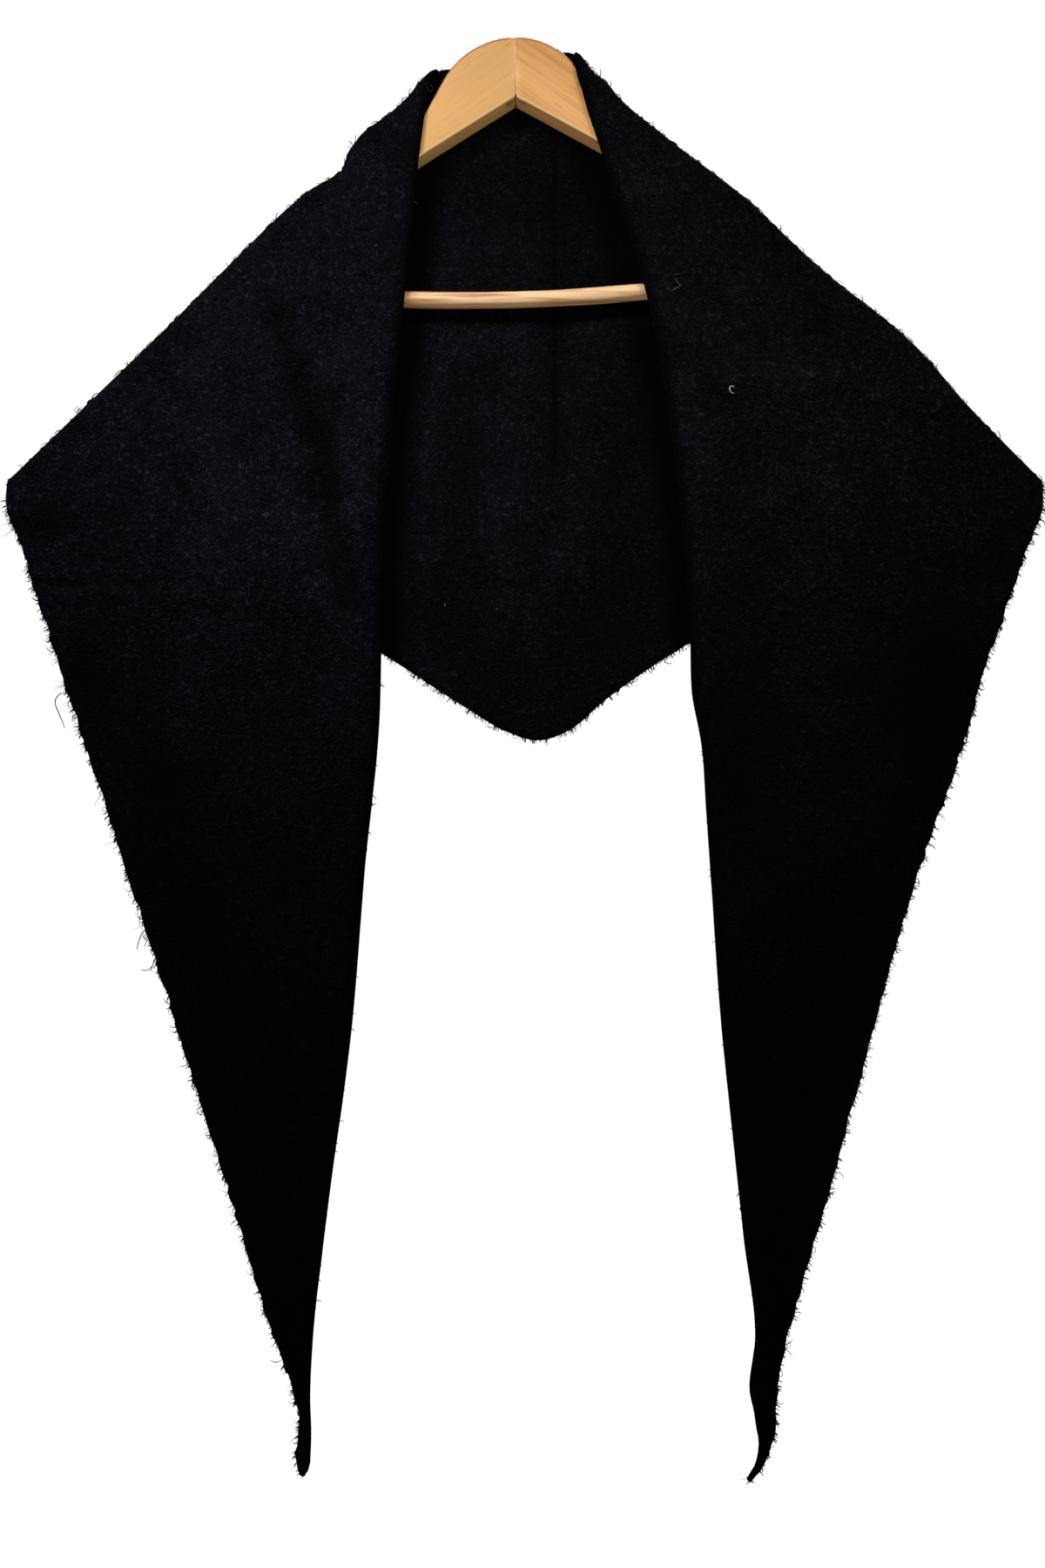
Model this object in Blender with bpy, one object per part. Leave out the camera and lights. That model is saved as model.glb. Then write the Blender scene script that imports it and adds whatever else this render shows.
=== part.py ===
"""Triangle scarf draped over a wooden clothes hanger with a trouser bar.

Metres, +Z up. X runs to the right of someone who looks at the open front, and
Y runs away from them. The origin is the hook seat, the flat top of the hanger.

The scarf is one triangle of cloth. It hangs from the hanger's two arms with
its obtuse corner at the bottom of the back and its two long tails in front,
so three stretches of it show: the back and the two fronts. They meet along
the shoulder folds.
"""

from math import asin, cos, pi, radians, sin, tan

import bpy
import numpy as np

# Cloth
WALL = 0.003
SEAM_GAP = 0.0003

# Hanger
BOARD = 0.0166
HUMP_RADIUS_LEFT = 0.0600
HUMP_RADIUS_RIGHT = 0.0545
LANDING = 0.010
HUMP_ARC = radians(58)
BLOCK_HEIGHT = 0.0427
FOOT_SLOPE = radians(30.3)
FOOT_BEVEL = 0.0015
HUMP_ROUND = 0.0045
ARM_ROUND = 0.0078
HANGER_TURN = radians(1.8)

BAR_RADIUS = 0.0057
BAR_HALF_LENGTH = 0.200
BAR_DROP = 0.1858
BAR_BOW_RADIUS = 1.30
BAR_SIDES = 12

# Shoulder folds: the cloth turns over the board in half a circle, tighter past
# the arm's end, which lies at a share of the way along the shoulder
FOLD_RADIUS = BOARD / 2 + 2 * SEAM_GAP + WALL / 2
FREE_FOLD_RADIUS = 0.0068
ARM_END_SHARE = 0.60
TIGHTENS_OVER = 0.25
HANG_DEPTH = 0.0105
SETTLES_OVER = 0.16

# Outlines of the cloth's middle layer, as x, z from the hook seat
SHOULDER_LEFT = (
    (-0.0545, -0.0220),
    (-0.0594, -0.0233),
    (-0.0622, -0.0258),
    (-0.0683, -0.0320),
    (-0.0745, -0.0403),
    (-0.0880, -0.0530),
    (-0.1120, -0.0720),
    (-0.1205, -0.0915),
    (-0.1470, -0.1095),
    (-0.2080, -0.1665),
    (-0.2470, -0.2055),
    (-0.2862, -0.2430),
    (-0.3630, -0.3170),
)
SHOULDER_RIGHT = (
    (0.0442, -0.0094),
    (0.0475, -0.0114),
    (0.0506, -0.0154),
    (0.0578, -0.0247),
    (0.0660, -0.0306),
    (0.0708, -0.0370),
    (0.1111, -0.0722),
    (0.1603, -0.1098),
    (0.2217, -0.1662),
    (0.2906, -0.2227),
    (0.3250, -0.2618),
    (0.3790, -0.3170),
)
INNER_LEFT = (
    (-0.0545, -0.0220),
    (-0.0600, -0.0300),
    (-0.0625, -0.0420),
    (-0.0645, -0.0570),
    (-0.0695, -0.0950),
    (-0.0790, -0.1870),
    (-0.0943, -0.3490),
    (-0.0985, -0.5050),
    (-0.1082, -0.6000),
    (-0.1162, -0.7000),
    (-0.1368, -0.8600),
    (-0.1450, -0.9350),
    (-0.1445, -1.0090),
    (-0.1480, -1.0290),
)
INNER_RIGHT = (
    (0.0442, -0.0094),
    (0.0452, -0.0252),
    (0.0503, -0.0429),
    (0.0541, -0.0561),
    (0.0587, -0.0698),
    (0.0650, -0.0890),
    (0.0965, -0.1870),
    (0.1190, -0.3240),
    (0.1279, -0.4333),
    (0.1290, -0.4700),
    (0.1355, -0.5050),
    (0.1398, -0.5609),
    (0.1495, -0.7000),
    (0.1660, -0.8600),
    (0.1738, -0.9350),
    (0.1698, -0.9720),
    (0.1738, -1.0090),
    (0.1685, -1.0335),
)
OUTER_LEFT = (
    (-0.3630, -0.3170),
    (-0.3635, -0.3360),
    (-0.3540, -0.3620),
    (-0.3280, -0.4400),
    (-0.2640, -0.6356),
    (-0.1985, -0.8420),
    (-0.1700, -0.9345),
    (-0.1560, -0.9718),
    (-0.1530, -1.0030),
    (-0.1530, -1.0300),
)
OUTER_RIGHT = (
    (0.3790, -0.3170),
    (0.3790, -0.3380),
    (0.3705, -0.3600),
    (0.3382, -0.4488),
    (0.3155, -0.5230),
    (0.2890, -0.5983),
    (0.2467, -0.7477),
    (0.2070, -0.8900),
    (0.1945, -0.9320),
    (0.1876, -0.9718),
    (0.1845, -1.0050),
    (0.1720, -1.0345),
)
NECK = (
    (-0.0545, -0.0220),
    (-0.0515, -0.0178),
    (-0.0461, -0.0148),
    (-0.0200, -0.0125),
    (0.0150, -0.0080),
    (0.0300, -0.0034),
    (0.0360, -0.0026),
    (0.0405, -0.0044),
    (0.0442, -0.0094),
)
LOWER_BACK = (
    (-0.3630, -0.3170),
    (-0.2300, -0.3730),
    (-0.0980, -0.4390),
    (-0.0340, -0.4800),
    (-0.0050, -0.4970),
    (0.0178, -0.5035),
    (0.0400, -0.4960),
    (0.0650, -0.4750),
    (0.1300, -0.4310),
    (0.2520, -0.3720),
    (0.3790, -0.3170),
)

# Soft folds: from x, from z, to x, to z, half width, height away from the hanger
FOLDS_LEFT = (
    (-0.112, -0.215, -0.108, -0.345, 0.016, 0.0035),
    (-0.143, -0.220, -0.150, -0.330, 0.022, -0.0015),
    (-0.185, -0.240, -0.165, -0.560, 0.026, 0.0030),
    (-0.345, -0.395, -0.150, -0.408, 0.012, 0.0020),
    (-0.275, -0.470, -0.205, -0.720, 0.024, -0.0030),
    (-0.150, -0.560, -0.150, -0.860, 0.014, 0.0030),
)
FOLDS_RIGHT = (
    (0.255, -0.343, 0.212, -0.598, 0.024, 0.0040),
    (0.181, -0.250, 0.318, -0.264, 0.012, 0.0020),
    (0.160, -0.300, 0.170, -0.560, 0.022, -0.0020),
    (0.272, -0.539, 0.305, -0.534, 0.012, 0.0020),
    (0.240, -0.640, 0.190, -0.880, 0.018, -0.0030),
    (0.165, -0.620, 0.172, -0.800, 0.014, 0.0030),
)
FOLDS_BACK = (
    (0.030, -0.100, 0.031, -0.300, 0.012, 0.0022),
    (-0.030, -0.240, -0.052, -0.420, 0.024, 0.0030),
    (0.085, -0.240, 0.070, -0.430, 0.022, 0.0028),
    (-0.180, -0.200, -0.150, -0.360, 0.030, 0.0030),
    (0.200, -0.210, 0.175, -0.350, 0.030, 0.0030),
)

# Arm sections from the foot of the hump's flank to the end, mirrored for the left arm
HUMP_FOOT = 0.045
ARM_SECTIONS = (
    # top x, top z, foot x, foot z
    (0.070, -0.0605, 0.066, -0.0813),
    (0.090, -0.0695, 0.088, -0.0955),
    (0.120, -0.0948, 0.108, -0.1150),
    (0.150, -0.1155, 0.136, -0.1360),
    (0.190, -0.1510, 0.173, -0.1680),
    (0.211, -0.1714, 0.193, -0.1875),
    (0.221, -0.1825, 0.203, -0.1985),
    (0.225, -0.1890, 0.213, -0.2015),
)

# Points of each mesh. A front's rows start along its shoulder, square to the
# tail's full drop, are closer there, and are level at the tip. The back's rows lie closer at the
# neck, and its outer columns follow the shoulder folds.
FRONT_ROWS, FRONT_COLUMNS = 32, 14
ROW_CROWDING = 1.25
TAIL_DROP = 0.69
ROWS_LEVEL_BY = 0.386
ROWS_TURN_AFTER = 0.08
BACK_ROWS, BACK_COLUMNS = 24, 32
NECK_CROWDING = 0.45
SLANT = 1.35
TURN_STEPS = 4
HUMP_SECTIONS = 9
BAR_SECTIONS = 17

# Colours, roughness
BLACK_CLOTH = (0.0035, 0.0032, 0.0050), 0.95
HONEY_WOOD = (0.67, 0.36, 0.13), 0.45
PALE_WOOD = (0.75, 0.49, 0.26), 0.5


def finish(name, colour, roughness):
    """A plain material of one colour."""
    material = bpy.data.materials.new(name)
    material.use_nodes = True
    shader = material.node_tree.nodes["Principled BSDF"]
    shader.inputs["Base Color"].default_value = (*colour, 1)
    shader.inputs["Roughness"].default_value = roughness
    shader.inputs["Metallic"].default_value = 0
    return material


def solid(name, points, faces, material, smooth_angle=40):
    """An object in the scene from points and faces."""
    mesh = bpy.data.meshes.new(name)
    mesh.from_pydata([tuple(p) for p in points], [], faces)
    mesh.materials.append(material)
    mesh.shade_smooth()
    mesh.set_sharp_from_angle(angle=radians(smooth_angle))
    piece = bpy.data.objects.new(name, mesh)
    bpy.context.scene.collection.objects.link(piece)
    return piece


def along(table, shares):
    """Points at shares of the length of a smooth curve through a table's points."""
    points = np.array(table)
    steps = np.linalg.norm(np.diff(points, axis=0), axis=1)
    at = np.concatenate([[0], np.cumsum(steps)]) / steps.sum()
    slopes = np.gradient(points, at, axis=0)
    shares = np.asarray(shares, float)
    i = np.clip(np.searchsorted(at, shares, side="right") - 1, 0, len(steps) - 1)
    span = (at[i + 1] - at[i])[..., None]
    t = (shares - at[i])[..., None] / span
    rise = t * t * (3 - 2 * t)
    leave = t * (1 - t) ** 2 * span * slopes[i]
    arrive = t * t * (t - 1) * span * slopes[i + 1]
    return points[i] * (1 - rise) + points[i + 1] * rise + leave + arrive


def to_line(x, z, line):
    """Distance of each point to a line of points, and the share of the line nearest to it."""
    start, step = line[:-1], np.diff(line, axis=0)
    dx = x[..., None] - start[:, 0]
    dz = z[..., None] - start[:, 1]
    reach = (dx * step[:, 0] + dz * step[:, 1]) / (step**2).sum(axis=1)
    reach = np.clip(reach, 0, 1)
    far = np.hypot(dx - reach * step[:, 0], dz - reach * step[:, 1])
    nearest = far.argmin(axis=-1)
    picked = np.take_along_axis(reach, nearest[..., None], -1)[..., 0]
    return far.min(axis=-1), (nearest + picked) / len(step)


def settle(share):
    """Smooth step from 0 to 1."""
    share = np.clip(share, 0, 1)
    return share * share * (3 - 2 * share)


def soft_folds(x, z, folds):
    """Height of the soft folds: each is a bell across its own line, fading past both ends."""
    height = np.zeros_like(x)
    for x0, z0, x1, z1, half_width, peak in folds:
        away, _ = to_line(x, z, np.array([(x0, z0), (x1, z1)]))
        height += peak * np.exp(-((away / half_width) ** 2))
    return height


def depth(x, z, shoulder, folds):
    """Distance of the cloth from the plane of the hanger.

    From the crest of the shoulder fold it turns down along a quarter circle,
    hangs at that circle's radius, and settles to the depth of a free sheet.
    """
    below, share = to_line(x, z, along(shoulder, np.linspace(0, 1, 49)))
    past_arm = settle((share - ARM_END_SHARE) / TIGHTENS_OVER)
    radius = FOLD_RADIUS + (FREE_FOLD_RADIUS - FOLD_RADIUS) * past_arm - SEAM_GAP / 2
    turn = np.sqrt(1 - (1 - np.clip(below / radius, 0, 1)) ** 2)
    hang = radius + (HANG_DEPTH - radius) * settle(below / SETTLES_OVER)
    return SEAM_GAP / 2 + hang * turn + soft_folds(x, z, folds)


def patch(s, t, top, bottom, left, right):
    """Points stretched between four edges: s runs down and t runs across.

    A point lies on the straight line between the two side edges of its row,
    moved by what the top and bottom edges stand off their own chords there.
    """
    down, across = s[..., None], t[..., None]
    place = (1 - across) * left[:, None] + across * right[:, None]
    for table, weight in ((top, 1 - down), (bottom, down)):
        chord = (1 - across) * np.array(table[0]) + across * np.array(table[-1])
        place = place + weight * (along(table, t) - chord)
    return place


def cloth_wall(name, middle, crests, material):
    """A closed wall of even thickness on both sides of a grid of middle points.

    The grid's normals come from its own steps. On a crest, where the next
    stretch of the same cloth goes on, the normal lies in the hanger's plane.
    """
    down = np.gradient(middle, axis=0)
    across = np.gradient(middle, axis=1)
    normal = np.cross(down, across)
    for crest in crests:
        normal[crest][:, 1] = 0
    normal /= np.linalg.norm(normal, axis=2, keepdims=True)
    one = (middle + normal * WALL / 2).reshape(-1, 3)
    other = (middle - normal * WALL / 2).reshape(-1, 3)
    count = len(one)
    at = np.arange(count).reshape(middle.shape[:2])
    corners = [at[:-1, :-1], at[1:, :-1], at[1:, 1:], at[:-1, 1:]]
    near = np.stack(corners, axis=-1).reshape(-1, 4)
    rim = np.concatenate([at[0, :-1], at[:-1, -1], at[-1, :0:-1], at[:0:-1, 0]])
    after = np.roll(rim, -1)
    edge = np.stack([rim, after, after + count, rim + count], axis=-1)
    faces = np.vstack([near, near[:, ::-1] + count, edge]).tolist()
    return solid(name, np.vstack([one, other]), faces, material)


def turn_shares():
    """Places across a quarter turn, as shares of its radius: even steps of angle."""
    return 1 - np.cos(np.linspace(0, pi / 2, TURN_STEPS + 1))


def front(name, shoulder, inner, outer, folds, material):
    """A front: from the shoulder fold down to the narrow tip of the tail."""
    turned = turn_shares() * FOLD_RADIUS / TAIL_DROP
    hanging = np.linspace(0, 1, FRONT_ROWS - TURN_STEPS)[1:] ** ROW_CROWDING
    hanging = turned[-1] + (1 - turned[-1]) * hanging
    s = np.concatenate([turned, hanging])
    started = 1 - np.exp(-((s / ROWS_TURN_AFTER) ** 2))
    edge_in = along(inner, s)
    edge_out = along(outer, s - ROWS_LEVEL_BY * s * (1 - s) * started)
    s_grid, t_grid = np.meshgrid(s, np.linspace(0, 1, FRONT_COLUMNS), indexing="ij")
    flat = patch(s_grid, t_grid, shoulder, (inner[-1], outer[-1]), edge_in, edge_out)
    x, z = flat[..., 0], flat[..., 1]
    middle = np.stack([x, -depth(x, z, shoulder, folds), z], axis=-1)
    if shoulder is SHOULDER_RIGHT:
        middle = middle[:, ::-1]
    return cloth_wall(name, middle, [np.s_[0]], material)


def back(name, material):
    """The back: from the neck edge and both shoulder folds down to the lower corner."""
    s = np.linspace(0, 1, BACK_ROWS)
    s = s * (1 - NECK_CROWDING + NECK_CROWDING * s)
    edge_left, edge_right = along(SHOULDER_LEFT, s), along(SHOULDER_RIGHT, s)
    width = np.linalg.norm(edge_right - edge_left, axis=1, keepdims=True)
    turned = turn_shares() * SLANT * FOLD_RADIUS / width
    hanging = np.linspace(0, 1, BACK_COLUMNS - 2 * TURN_STEPS)
    hanging = turned[:, -1:] + (1 - 2 * turned[:, -1:]) * hanging
    t = np.hstack([turned[:, :-1], hanging, 1 - turned[:, -2::-1]])
    s_grid = np.repeat(s[:, None], t.shape[1], axis=1)
    flat = patch(s_grid, t, NECK, LOWER_BACK, edge_left, edge_right)
    x, z = flat[..., 0], flat[..., 1]
    left_depth, right_depth = depth(x, z, SHOULDER_LEFT, ()), depth(x, z, SHOULDER_RIGHT, ())
    y = np.minimum(left_depth, right_depth) + soft_folds(x, z, FOLDS_BACK)
    middle = np.stack([x, y, z], axis=-1)
    return cloth_wall(name, middle[:, ::-1], [np.s_[:, 0], np.s_[:, -1]], material)


def loft(name, rings, material):
    """A closed solid through rings of equally many points, capped at both ends."""
    rings = np.asarray(rings)
    count, sides = rings.shape[:2]
    faces = [tuple(range(sides - 1, -1, -1))]
    for i in range(count - 1):
        for j in range(sides):
            a, b = i * sides + j, i * sides + (j + 1) % sides
            faces.append((a, b, b + sides, a + sides))
    faces.append(tuple(range((count - 1) * sides, count * sides)))
    return solid(name, rings.reshape(-1, 3), faces, material)


def arm_section(top, foot, top_round):
    """One cross-section of an arm: a flat board with a rounded top and a bevelled foot."""
    top, foot = np.array(top), np.array(foot)
    height = np.linalg.norm(top - foot)
    up = (top - foot) / height
    half = BOARD / 2
    turn = np.linspace(0, pi / 2, 4)
    corner = half - top_round + top_round * np.cos(turn)
    crown = height - top_round + top_round * np.sin(turn)
    side = np.concatenate([[half - FOOT_BEVEL, half], corner])
    across = np.concatenate([side, -side[::-1]])
    rise = np.concatenate([[0, FOOT_BEVEL], crown])
    rise = np.concatenate([rise, rise[::-1]])
    place = foot + rise[:, None] * up
    return np.stack([place[:, 0], across, place[:, 1]], axis=1)


def arm(name, side, radius, material):
    """One arm: half of the hump, round on top and straight down its flank, then the board."""
    start = asin(LANDING / 2 / radius)
    rise = radius * cos(start)
    stations = [((SEAM_GAP / 2, 0), (SEAM_GAP / 2, -BLOCK_HEIGHT), HUMP_ROUND)]
    for angle in np.linspace(start, HUMP_ARC, HUMP_SECTIONS):
        top = radius * sin(angle), radius * cos(angle) - rise
        reach = (angle - start) / (HUMP_ARC - start)
        foot_x = LANDING / 2 + (HUMP_FOOT - LANDING / 2) * reach
        foot = foot_x, -BLOCK_HEIGHT - foot_x * tan(FOOT_SLOPE)
        stations.append((top, foot, HUMP_ROUND))
    stations += [((a, b), (c, d), ARM_ROUND) for a, b, c, d in ARM_SECTIONS]
    rings = np.array([arm_section(*station) for station in stations])
    rings[..., 0] *= side
    if side > 0:
        rings = rings[:, ::-1]
    return loft(name, rings, material)


def bar_rod(name, radius, half_length, material):
    """A round rod that sags in the middle along an arc."""
    x = np.linspace(-half_length, half_length, BAR_SECTIONS)
    lean = x / BAR_BOW_RADIUS
    z = -BAR_DROP + x * x / (2 * BAR_BOW_RADIUS)
    turn = np.arange(BAR_SIDES) * 2 * pi / BAR_SIDES
    out, up = radius * np.cos(turn), radius * np.sin(turn)
    rings = np.stack(
        [
            x[:, None] - up * np.sin(lean)[:, None],
            np.repeat(out[None], BAR_SECTIONS, axis=0),
            z[:, None] + up * np.cos(lean)[:, None],
        ],
        axis=-1,
    )
    return loft(name, rings, material)


def hanger():
    """Two arms and the bar in their sockets, turned together about the hook seat."""
    honey = finish("honey_wood", *HONEY_WOOD)
    pale = finish("pale_wood", *PALE_WOOD)
    pivot = bpy.data.objects.new("hanger", None)
    bpy.context.scene.collection.objects.link(pivot)
    pivot.rotation_euler[1] = -HANGER_TURN
    bar = bar_rod("hanger_bar", BAR_RADIUS, BAR_HALF_LENGTH, pale)
    socket = bar_rod("bar_socket", BAR_RADIUS + SEAM_GAP, BAR_HALF_LENGTH + SEAM_GAP, pale)
    socket.hide_render = True
    socket.display_type = "WIRE"
    pieces = [bar, socket]
    sides = ("hanger_arm_left", -1, HUMP_RADIUS_LEFT), ("hanger_arm_right", 1, HUMP_RADIUS_RIGHT)
    for name, side, radius in sides:
        board = arm(name, side, radius, honey)
        cut = board.modifiers.new("bar socket", "BOOLEAN")
        cut.operation = "DIFFERENCE"
        cut.object = socket
        pieces.append(board)
    for piece in pieces:
        piece.parent = pivot


def scarf():
    """The three stretches of the cloth that show."""
    cloth = finish("black_cloth", *BLACK_CLOTH)
    back("scarf_back", cloth)
    front("scarf_front_left", SHOULDER_LEFT, INNER_LEFT, OUTER_LEFT, FOLDS_LEFT, cloth)
    front("scarf_front_right", SHOULDER_RIGHT, INNER_RIGHT, OUTER_RIGHT, FOLDS_RIGHT, cloth)


for leftover in list(bpy.data.objects):
    bpy.data.objects.remove(leftover)
hanger()
scarf()
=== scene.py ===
"""Looks of a black brushed triangle scarf draped over a wooden clothes hanger.

Metres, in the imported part's frame: the origin is the hook seat on top of the
hanger, +X runs to the right of someone who looks at the open front, +Y away
from them, and +Z up. The scarf is one continuous cloth in the form of the three
plain solids, with its creases, its curly nap and its loose edge yarns. Its neck
and tips lie up to 3 mm off theirs. The hanger's arms and bar are finer surfaces
from the same sizes as the solids.
"""

from math import asin, cos, pi, radians, sin, tan

import bpy
import numpy as np
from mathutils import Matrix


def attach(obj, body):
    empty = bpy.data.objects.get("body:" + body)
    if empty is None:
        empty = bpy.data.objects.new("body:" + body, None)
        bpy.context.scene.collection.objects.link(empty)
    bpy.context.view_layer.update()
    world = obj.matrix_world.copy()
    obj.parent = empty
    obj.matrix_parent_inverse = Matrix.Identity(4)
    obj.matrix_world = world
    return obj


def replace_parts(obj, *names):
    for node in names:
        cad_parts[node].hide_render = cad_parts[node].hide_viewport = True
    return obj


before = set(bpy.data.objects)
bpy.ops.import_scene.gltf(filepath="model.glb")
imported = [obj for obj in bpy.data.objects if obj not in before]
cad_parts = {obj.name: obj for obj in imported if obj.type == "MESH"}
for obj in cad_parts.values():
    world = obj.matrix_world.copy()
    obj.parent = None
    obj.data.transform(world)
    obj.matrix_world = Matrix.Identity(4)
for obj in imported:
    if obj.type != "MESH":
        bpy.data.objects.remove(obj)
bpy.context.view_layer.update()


def from_mm(*rows):
    """Rows of millimetres in metres."""
    return tuple(tuple(value / 1000 for value in row) for row in rows)


# Photo: its size, the width of one pixel at the hanger, and the camera's place
FRAME_WIDTH, FRAME_HEIGHT = 1200, 1800
PIXEL = 0.00063
CAMERA_DISTANCE = 0.900
CAMERA_X, CAMERA_Z = 0.0063, -0.536
SENSOR_MM = 36

# Studio: a floor and a surround that the camera sees white, and soft lights
FLOOR_Z, FLOOR_HALF = -1.12, 12.0
FLOOR_GREY = (0.60, 0.60, 0.60)
SURROUND_LIGHT = 0.02
LIGHTS = (
    # name, place, aim, size, watts, spread in degrees
    ("key_light", (-0.62, -0.80, 0.44), (-0.10, 0.0, -0.30), (0.5, 0.25), 1.32, 52),
    ("fill_light", (0.60, -0.80, 0.44), (0.10, 0.0, -0.30), (0.5, 0.25), 0.78, 52),
    ("rear_light", (0.15, 0.95, 0.75), (0.0, 0.0, -0.33), (1.3, 0.35), 2.8, 40),
    ("low_light", (0.0, -0.55, -0.80), (0.0, 0.0, -0.09), (0.4, 0.3), 0.15, 36),
)

# Cloth
WALL = 0.003
EDGE_ROUND = 0.0009

# Hanger
BOARD = 0.0166
HUMP_RADIUS_LEFT = 0.0600
HUMP_RADIUS_RIGHT = 0.0545
LANDING = 0.010
HUMP_ARC = radians(58)
BLOCK_HEIGHT = 0.0427
FOOT_SLOPE = radians(30.3)
FOOT_BEVEL = 0.0013
HUMP_ROUND = 0.0028
ARM_ROUND = 0.0078
HANGER_TURN = radians(1.8)
SEAM_BEVEL = 0.0004
CRACK_HEIGHT = 0.0030
GLUE_THICK, GLUE_SUNK = 0.0007, 0.3
GLUE_RINGS, GLUE_SIDES = 11, 24
GLUE_LOBES, GLUE_LOBE_SIZE, GLUE_LOBE_TURN = 3, 0.16, 900
GLUE_DROPS = from_mm(
    # x, y, half width, half length
    (-4.2, -4, 3, 3.2),
    (4.6, -5.2, 2.6, 2.4),
)
BAR_RADIUS = 0.0057
BAR_HALF_LENGTH = 0.200
BAR_DROP = 0.1858
BAR_BOW_RADIUS = 1.30
BAR_RINGS, BAR_SIDES = 121, 28
BAR_UNEVEN, BAR_UNEVEN_SIZE = 0.02, 0.03

# Shoulder folds: the cloth turns over the board in half a circle, tighter past
# the arm's end, which lies at a share of the way along the shoulder
FOLD_RADIUS = BOARD / 2 + 0.0006 + WALL / 2
FREE_FOLD_RADIUS = 0.0068
ARM_END_SHARE = 0.60
TIGHTENS_OVER = 0.25
HANG_DEPTH = 0.0105
SETTLES_OVER = 0.16

# Outlines of the cloth's middle layer, as x, z from the hook seat in millimetres
SHOULDER_LEFT = from_mm(
    (-54.5, -22), (-59.4, -23.3), (-62.2, -25.8), (-68.3, -32), (-74.5, -40.3), (-88, -53),
    (-112, -72), (-120.5, -91.5), (-147, -109.5), (-208, -166.5), (-247, -205.5),
    (-286.2, -243), (-363, -317),
)
SHOULDER_RIGHT = from_mm(
    (44.2, -9.4), (47.5, -11.4), (50.6, -15.4), (57.8, -24.7), (66, -30.6), (70.8, -37),
    (111.1, -72.2), (160.3, -109.8), (221.7, -166.2), (290.6, -222.7), (325, -261.8),
    (379, -317),
)
INNER_LEFT = from_mm(
    (-54.5, -22), (-60, -30), (-62.5, -42), (-64.5, -57), (-69.5, -95), (-79, -187),
    (-94.3, -349), (-98.5, -505), (-108.2, -600), (-116.2, -700), (-136.8, -860), (-145, -935),
    (-146.5, -978), (-145.7, -996), (-145.9, -1013), (-147, -1024.5), (-150, -1030.2),
)
INNER_RIGHT = from_mm(
    (44.2, -9.4), (45.2, -25.2), (50.3, -42.9), (54.1, -56.1), (58.7, -69.8), (65, -89),
    (96.5, -187), (119, -324), (127.9, -433.3), (129, -470), (135.5, -505), (139.8, -560.9),
    (149.5, -700), (166, -860), (173.8, -935), (169.8, -972), (172.7, -985), (174.2, -996),
    (175.9, -1005), (175.2, -1015.7), (172.7, -1024), (169.4, -1029.5), (167.5, -1033),
)
OUTER_LEFT = from_mm(
    (-363, -317), (-363.5, -336), (-354, -362), (-328, -440), (-264, -635.6), (-198.5, -842),
    (-170, -934.5), (-155.7, -974.2), (-153.2, -986), (-153.8, -1000), (-155, -1012),
    (-154.4, -1023.5), (-152.6, -1030),
)
OUTER_RIGHT = from_mm(
    (379, -317), (379, -338), (370.5, -360), (338.2, -448.8), (315.5, -523), (289, -598.3),
    (246.7, -747.7), (207, -890), (194.5, -932), (187.6, -971.8), (186, -988), (184.8, -1003),
    (181.6, -1015.7), (177.8, -1023.8), (173.5, -1029.8), (169.3, -1034.8),
)
NECK = from_mm(
    (-54.5, -22), (-52.8, -16.2), (-46.1, -14.6), (-20, -12.5), (15, -8), (30, -3), (36, -1.6),
    (42.5, -3), (44.2, -9.4),
)
LOWER_BACK = from_mm(
    (-363, -317), (-230, -373), (-98, -439), (-34, -480), (-5, -497), (17.8, -503.5),
    (40, -496), (65, -475), (130, -431), (252, -372), (379, -317),
)

# Soft folds and creases, in millimetres: from x, from z, to x, to z, half width,
# height away from the hanger. The wide rows are the solids' folds, the narrow
# ones creases.
FOLDS_LEFT = from_mm(
    (-112, -215, -108, -345, 16, 3.5),
    (-143, -220, -150, -330, 22, -1.5),
    (-185, -240, -165, -560, 26, 3),
    (-345, -395, -150, -408, 12, 2),
    (-275, -470, -205, -720, 24, -3),
    (-150, -560, -150, -860, 14, 3),
    (-168.5, -204.5, -138, -288.5, 9.5, -3.4),
    (-138, -288.5, -118.7, -406.6, 9.5, -4),
    (-332, -393, -270, -392, 4, -2.2),
    (-262, -392, -178, -398, 5, -1.2),
    (-250, -415, -180, -425, 6, 0.8),
    (-126, -262, -131, -330, 7, -1.6),
    (-300, -330, -275, -372, 7, -1),
    (-232, -520, -222, -590, 8, 1),
    (-172, -700, -166, -790, 7, -1),
)
FOLDS_RIGHT = from_mm(
    (255, -343, 212, -598, 24, 4),
    (181, -250, 318, -264, 12, 2),
    (160, -300, 170, -560, 22, -2),
    (272, -539, 305, -534, 12, 2),
    (240, -640, 190, -880, 18, -3),
    (165, -620, 172, -800, 14, 3),
    (205, -262, 250, -252, 5, -1.4),
    (262, -268, 315, -276, 5, -1),
    (276, -547, 300, -545, 4, -1.2),
    (262, -360, 246, -450, 7, -1.2),
    (186, -400, 196, -470, 7, 1),
    (214, -700, 204, -780, 7, -1),
)
FOLDS_BACK = from_mm(
    (30, -100, 31, -300, 12, 2.2),
    (-30, -240, -52, -420, 24, 3),
    (85, -240, 70, -430, 22, 2.8),
    (-180, -200, -150, -360, 30, 3),
    (200, -210, 175, -350, 30, 3),
    (29.5, -85, 30, -180, 3.5, 1),
    (30, -215, 30.5, -305, 3, 1.4),
    (-60, -375, 50, -385, 6, -1),
    (-120, -240, -105, -330, 7, -1),
    (130, -250, 140, -330, 7, 1),
)

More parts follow.
